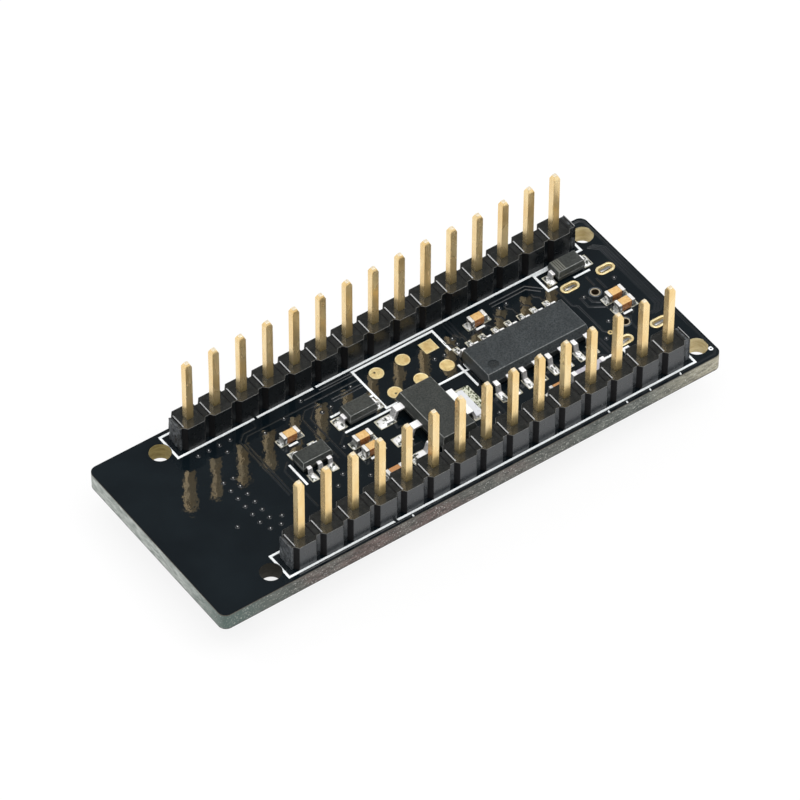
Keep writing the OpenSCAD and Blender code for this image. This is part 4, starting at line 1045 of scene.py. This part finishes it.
def socket_traces():
    """Lines round the socket's legs and along the board's right edge, on the headers' grid."""
    lines = [
        [(15.39, 3.9), (15.39, 1.75), (15.72, 1.38), (15.72, -1.95), (16.0, -2.25)],
        [(18.19, 3.7), (18.19, 2.45)],
        [(18.78, 3.1), (18.78, 1.65)],
        [(16.37, 2.05), (16.37, 0.85), (17.5, 0.1)],
        [(16.95, 1.75), (16.95, 1.15), (17.5, 0.7)],
        [(18.55, -1.8), (18.2, -2.3), (18.1, -2.8), (18.12, -3.2), (18.3, -3.6)],
        [(21.72, 6.3), (21.72, -5.5)],
    ]
    for k in range(3):
        x = 20.98 + 0.24 * k
        low = -1.9 - 0.12 * k
        lines.append([(x - 0.75, 6.25), (x, 5.5), (x, low), (x - 0.55, low - 0.55), (x - 1.2, low - 0.6)])
    return lines


def add_traces():
    """Copper lines under the coating, which show as faint ridges, and the line round the edge."""
    shape = bmesh.new()
    for line in radio_traces() + serial_traces() + socket_traces():
        moved = [(x + HEADER_SHIFT, y) for x, y in line]
        add_ribbon(shape, moved, TRACE_W, TRACE_H, 1, TRACE_SLOPE)
    edge = [(-19.0, -9.08), (21.3, -9.08), (21.6, -8.78), (21.6, 8.78), (21.3, 9.08), (-19.0, 9.08)]
    add_ribbon(shape, edge, TRACE_W, TRACE_H, 1, TRACE_SLOPE)
    add_piece("coated_traces", shape, [coated_copper])


def via_places():
    """Middles of the small plated holes that the coating covers."""
    fence = [(x, 2.1 - k) for x in (-18.4, -17.5) for k in range(6)]
    row = [(-18.4 + k, 5.6) for k in range(4)]
    return fence + row + [
        (-16.3, 4.65), (-20.1, -2.3), (-18.1, -3.9), (-17.15, -4.0), (-16.6, -3.3), (-12.75, 4.6),
        (-10.65, 5.0), (-10.25, -2.5), (-11.25, -3.3), (-8.5, 5.8), (-4.4, 4.75), (-7.8, 3.8),
        (-6.9, 3.9), (-8.5, -0.2), (-8.55, -3.85), (2.8, 3.35), (3.7, 3.25), (4.8, 0.1),
        (3.6, -4.3), (5.25, 4.35), (5.25, 3.65), (10.3, 4.9), (11.05, 5.0), (16.55, 1.95),
        (19.85, 2.3), (16.6, -1.3), (15.3, -2.75),
    ]


def add_vias():
    """Coated rings over small holes, one bare gilt ring, and rings round the peg holes."""
    rings, glint_dots, moats, lips, bare, holes = (bmesh.new() for _ in range(6))
    for place in via_places():
        add_turned(rings, *place, VIA_RING, 12)
        # Painted highlight: a bright tinned dot in each via's middle stands for its glint
        add_disc(glint_dots, *place, 0.05, 0.03, 8)
    for y in PEG_YS:
        add_turned(moats, PEG_X, y, PEG_MOAT, 32)
        add_turned(lips, PEG_X, y, PEG_LIP, 32)
    add_turned(bare, *BARE_VIA, BARE_RING)
    # Dark discs, painted shade, stand for the holes in two pads and in the bare ring
    for place in PAD_HOLES:
        add_disc(holes, *place, 0.12, PAD_HOLE_H)
    add_disc(holes, *BARE_VIA, 0.11, 0.012)
    add_piece("peg_hole_rings", moats, [ring_coat_highlight])
    add_piece("coated_vias", rings, [coated_copper])
    add_piece("painted_via_glints", glint_dots, [tin])
    add_piece("peg_hole_lips", lips, [lip_epoxy])
    add_piece("bare_via", bare, [gilt])
    add_piece("via_holes", holes, [painted_hole_shade])


def add_small_print():
    """A small printed dot near a corner, small white ticks along the near edge, and a nick in the near
    line.
    """
    shape = bmesh.new()
    add_turned(shape, *DOT_PLACE, PRINT_DOT)
    for x in TICK_XS:
        add_ribbon(shape, [(x, TICK_YS[0]), (x - 0.03, TICK_YS[1])], TICK_W, TICK_H)
    add_piece("small_print", shape, [print_ink])
    nick = bmesh.new()
    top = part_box("print_lines")[1].z / MM
    add_ribbon(nick, [(NICK_X, NICK_YS[0]), (NICK_X + 0.1, NICK_YS[1])], NICK_W, top + 0.006)
    add_piece("print_nick", nick, [coated_copper])


def add_bar(shape, low, high):
    """A box between two corners in millimetres."""
    low, high = Vector(low) * MM, Vector(high) * MM
    size = Matrix.Diagonal((*(high - low), 1.0))
    bmesh.ops.create_cube(shape, size=1.0, matrix=Matrix.Translation((low + high) / 2) @ size)


def add_cathode_band():
    """Thin stripes across the power diode's left end, which mark its polarity."""
    low, high = (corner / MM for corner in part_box("power_diode_body"))
    near, far = low.y + STRIPE_MARGIN, high.y - STRIPE_MARGIN
    shape = bmesh.new()
    for k in range(4):
        x = low.x + (k + 1) * STRIPE_STEP
        add_bar(shape, (x, near, high.z - 0.01), (x + STRIPE_W, far, high.z + 0.004))
    add_piece("cathode_band", shape, [band_ink])


def solder_hidden_side():
    """Solder of the hidden side, kept plain."""
    work = Soldering(-1)
    x, y = node_middle("microcontroller_body")
    for k in range(8):
        step = (k - 3.5) * MCU_PITCH
        for way in (-1, 1):
            work.foot(x, step, "x", way * 3.95, way * 4.7, 0.5, 0.14)
            work.foot(x + step, 0.0, "y", way * 3.95, way * 4.7, 0.5, 0.14)
    solder_chip_ends(work, "rear_capacitor_ends")
    solder_chip_ends(work, "resistor_ends", 0.3, 0.3)
    for light in node_parts("led_bases"):
        work.both_ends(light, light, 0.3, 0.22)
    switch = node_middle("switch_housing")[0]
    for low, high in node_parts("switch_terminals"):
        y = (low.y + high.y) / 2
        if low.x > switch:
            work.chip_end(high.x, y, 0.35, 0.8, 0.18)
        else:
            work.chip_end(low.x, y, -0.35, 0.8, 0.18)
    for low, high in node_parts("crystal_bases"):
        for x in (low.x + 0.5, high.x - 0.5):
            for y in (low.y, high.y):
                work.pad((x - 0.55, x + 0.55, y - 0.25, y + 0.25))
    for low, high in node_parts("usb_contacts"):
        work.chip_end(low.x, (low.y + high.y) / 2, -0.35, 0.36, 0.14)
    work.finish("hidden_side")


def print_hidden_side():
    """Printed outlines round the parts of the hidden side."""
    shape = bmesh.new()
    outlined = (
        ("microcontroller_body", 0.35, 0.55), ("radio_chip_body", 0.3, 0.8), ("switch_housing", 0.25, 0.8)
    )
    for node, margin, arm in outlined:
        low, high = (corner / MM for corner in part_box(node))
        for sx, x in ((1, low.x - margin), (-1, high.x + margin)):
            for sy, y in ((1, low.y - margin), (-1, high.y + margin)):
                add_ribbon(shape, [(x, y + sy * arm), (x, y), (x + sx * arm, y)], INK_W, INK_H, -1)
    for y in (-ROW_Y, ROW_Y):
        inner = y - math.copysign(INK_INSET, y)
        add_ribbon(shape, [(x, inner) for x in INK_XS], INK_W, INK_H, -1)
    add_piece("hidden_side_print", shape, [print_ink])


def main_parts():
    """Every CAD node, dressed as it is or replaced by a softened copy."""
    make_board()
    dress("print_lines", print_ink)
    soften("programming_pads", 0.03, gilt, 1)
    soften("usb_slot_linings", 0.015, gilt, 1, False)
    dress("antenna_line", coated_copper)
    make_strips()
    for side in ("near", "far"):
        soften("header_pins_" + side, 0.035, pin_gilt)
        dress("header_solder_" + side, solder)
    for part in ("serial_chip", "main_regulator", "radio_regulator", "microcontroller"):
        soften(part + "_leads", 0.035, tin)
    soften("main_regulator_tab", 0.05, tab_tin)
    make_serial_body()
    for node in ("microcontroller_body", "radio_chip_body"):
        soften(node, 0.05, chip_plastic, 1, edge=chip_edge_highlight, shortest=STRAIGHT)
    for node, width in (("main_regulator_body", 0.04), ("radio_regulator_body", 0.035)):
        soften(node, width, regulator_plastic, 1, edge=dark_edge_highlight)
    for part in ("signal_diode", "power_diode"):
        soften(part + "_body", 0.035, dark_plastic, 1, edge=dark_edge_highlight)
        soften(part + "_leads", 0.03, tin)
    dress("radio_chip_lands", tin)
    for prefix in ("", "rear_"):
        soften(prefix + "capacitor_bodies", 0.04, tan_ceramic, sides=shaded_redder_tan_side)
        soften(prefix + "capacitor_ends", 0.07, silver_end, 3, sides=shaded_silver_side)
    soften("resonator_body", 0.04, resonator_ceramic)
    soften("resonator_bands", 0.03, tin)
    soften("usb_shell", 0.03, steel, flatten=False)
    dress("usb_insulator", black_plastic)
    dress("usb_contacts", gilt)
    soften("crystal_bases", 0.05, base_ceramic)
    soften("crystal_lids", 0.06, steel)
    soften("switch_housing", 0.05, black_plastic, flatten=False)
    soften("switch_terminals", 0.03, tin)
    dress("switch_dome", steel)
    soften("switch_cover", 0.04, steel, flatten=False)
    soften("reset_button", 0.08, button_plastic, 3, False, "button")
    soften("led_bases", 0.03, white_plastic)
    soften("led_lenses", 0.06, lens_resin, 3)
    soften("resistor_bodies", 0.03, black_plastic)
    soften("resistor_ends", 0.04, tin)


# The stage


def make_floor():
    """A pale floor that reads as white, and keeps a soft shadow."""
    mesh = bpy.data.meshes.new("floor")
    floor = add_object("floor", mesh)
    corners = [(x * FLOOR_REACH, y * FLOOR_REACH, cad_low.z) for x, y in SQUARE]
    mesh.from_pydata(corners, [], [(0, 1, 2, 3)])
    paper = Finish("floor_paper", (0.9, 0.9, 0.9), 0.9)
    paper.feed(paper.skin, {"Specular IOR Level": 0.0})
    glow = paper.node("Emission", {"Color": WHITE, "Strength": 1.0})
    share = paper.times(paper.seen(), FLOOR_GLOW)
    matt = paper.tree.nodes["Principled BSDF"].outputs["BSDF"]
    blend = paper.node("MixShader", {"Fac": share, 1: matt, 2: glow.outputs["Emission"]})
    paper.feed(paper.tree.nodes["Material Output"].inputs, {"Surface": blend.outputs["Shader"]})
    mesh.materials.append(paper.material)


def make_world(level, band, dim, toward, narrow, wide):
    """A soft overhead light, and a backdrop for the camera and gloss: white, dimmer above the horizon.

    That dimmer part is as bright as band. Toward one direction the backdrop is dim: within narrow
    degrees of it fully, and less out to wide degrees."""
    world = bpy.data.worlds.new("surround")
    bpy.context.scene.world = world
    sky = Shader(world)
    place = sky.node("TexCoord", {}).outputs["Generated"]

    def closeness(direction):
        values = {0: place, 1: Vector(direction).normalized()}
        return sky.node("VectorMath", values, "DOT_PRODUCT").outputs["Value"]

    height = closeness((0, 0, 1))
    low_side = sky.spread(height, 1.0, band, *BAND_START, True)
    high_side = sky.spread(height, 0.0, 1.0, *BAND_END, True)
    backdrop = sky.combine("MAXIMUM", low_side, high_side)
    rim, core = (math.cos(math.radians(angle)) for angle in (wide, narrow))
    spot = sky.spread(closeness(toward), 1.0, dim, rim, core, True)
    backdrop = sky.times(backdrop, spot)
    seen = sky.seen()
    shown = sky.times(seen, backdrop)
    overhead = sky.spread(height, 0.6, 1.4, 0.0, 1.0, True)
    unseen = sky.times(sky.combine("SUBTRACT", 1.0, seen), overhead)
    unseen = sky.times(unseen, level)
    strength = sky.combine("ADD", shown, unseen)
    sky.feed(sky.tree.nodes["Background"].inputs, {"Color": WHITE, "Strength": strength})


def add_softbox(name, direction, size, radiance):
    """A square lamp that faces the board's middle; radiance 1 is the brightness of white paper."""
    lamp = bpy.data.lights.new(name, "AREA")
    lamp.shape = "SQUARE"
    lamp.size = size
    lamp.energy = radiance * math.pi * size * size
    holder = add_object(name, lamp)
    way = Vector(direction).normalized()
    holder.location = way * LAMP_DISTANCE
    holder.rotation_euler = way.to_track_quat("Z", "Y").to_euler()


def make_camera():
    """The camera at the photograph's angle: turned, tilted down and rolled by what a fit gave."""
    azimuth, tilt, roll = (math.radians(angle) for angle in CAMERA_ANGLES)
    data = bpy.data.cameras.new("camera")
    data.sensor_width = 36.0
    data.lens = CAMERA_LENS
    data.clip_start = 0.01
    data.clip_end = 10.0
    turn = Matrix.Rotation(-azimuth, 4, "Z") @ Matrix.Rotation(math.pi / 2 - tilt, 4, "X")
    camera = add_object("camera", data)
    camera.matrix_world = Matrix.Translation(CAMERA_PLACE) @ turn @ Matrix.Rotation(roll, 4, "Z")
    bpy.context.scene.camera = camera


make_camera()
make_floor()
make_world(level=0.82, band=0.32, dim=0.56, toward=(0.397, 0.553, 0.733), narrow=18, wide=34)
add_softbox("top_box", (0.1, -0.2, 0.97), size=0.4, radiance=1.5)
add_softbox("front_box", (0.40, -0.55, 0.73), size=0.25, radiance=1.3)
add_softbox("side_box", (-0.42, 0.55, 0.72), size=0.09, radiance=8.0)
bpy.context.scene.view_settings.view_transform = "Standard"

main_parts()
add_traces()
add_vias()
add_small_print()
add_cathode_band()
add_pad_rims()
add_slot_rims()
solder_pin_side()
solder_hidden_side()
print_hidden_side()
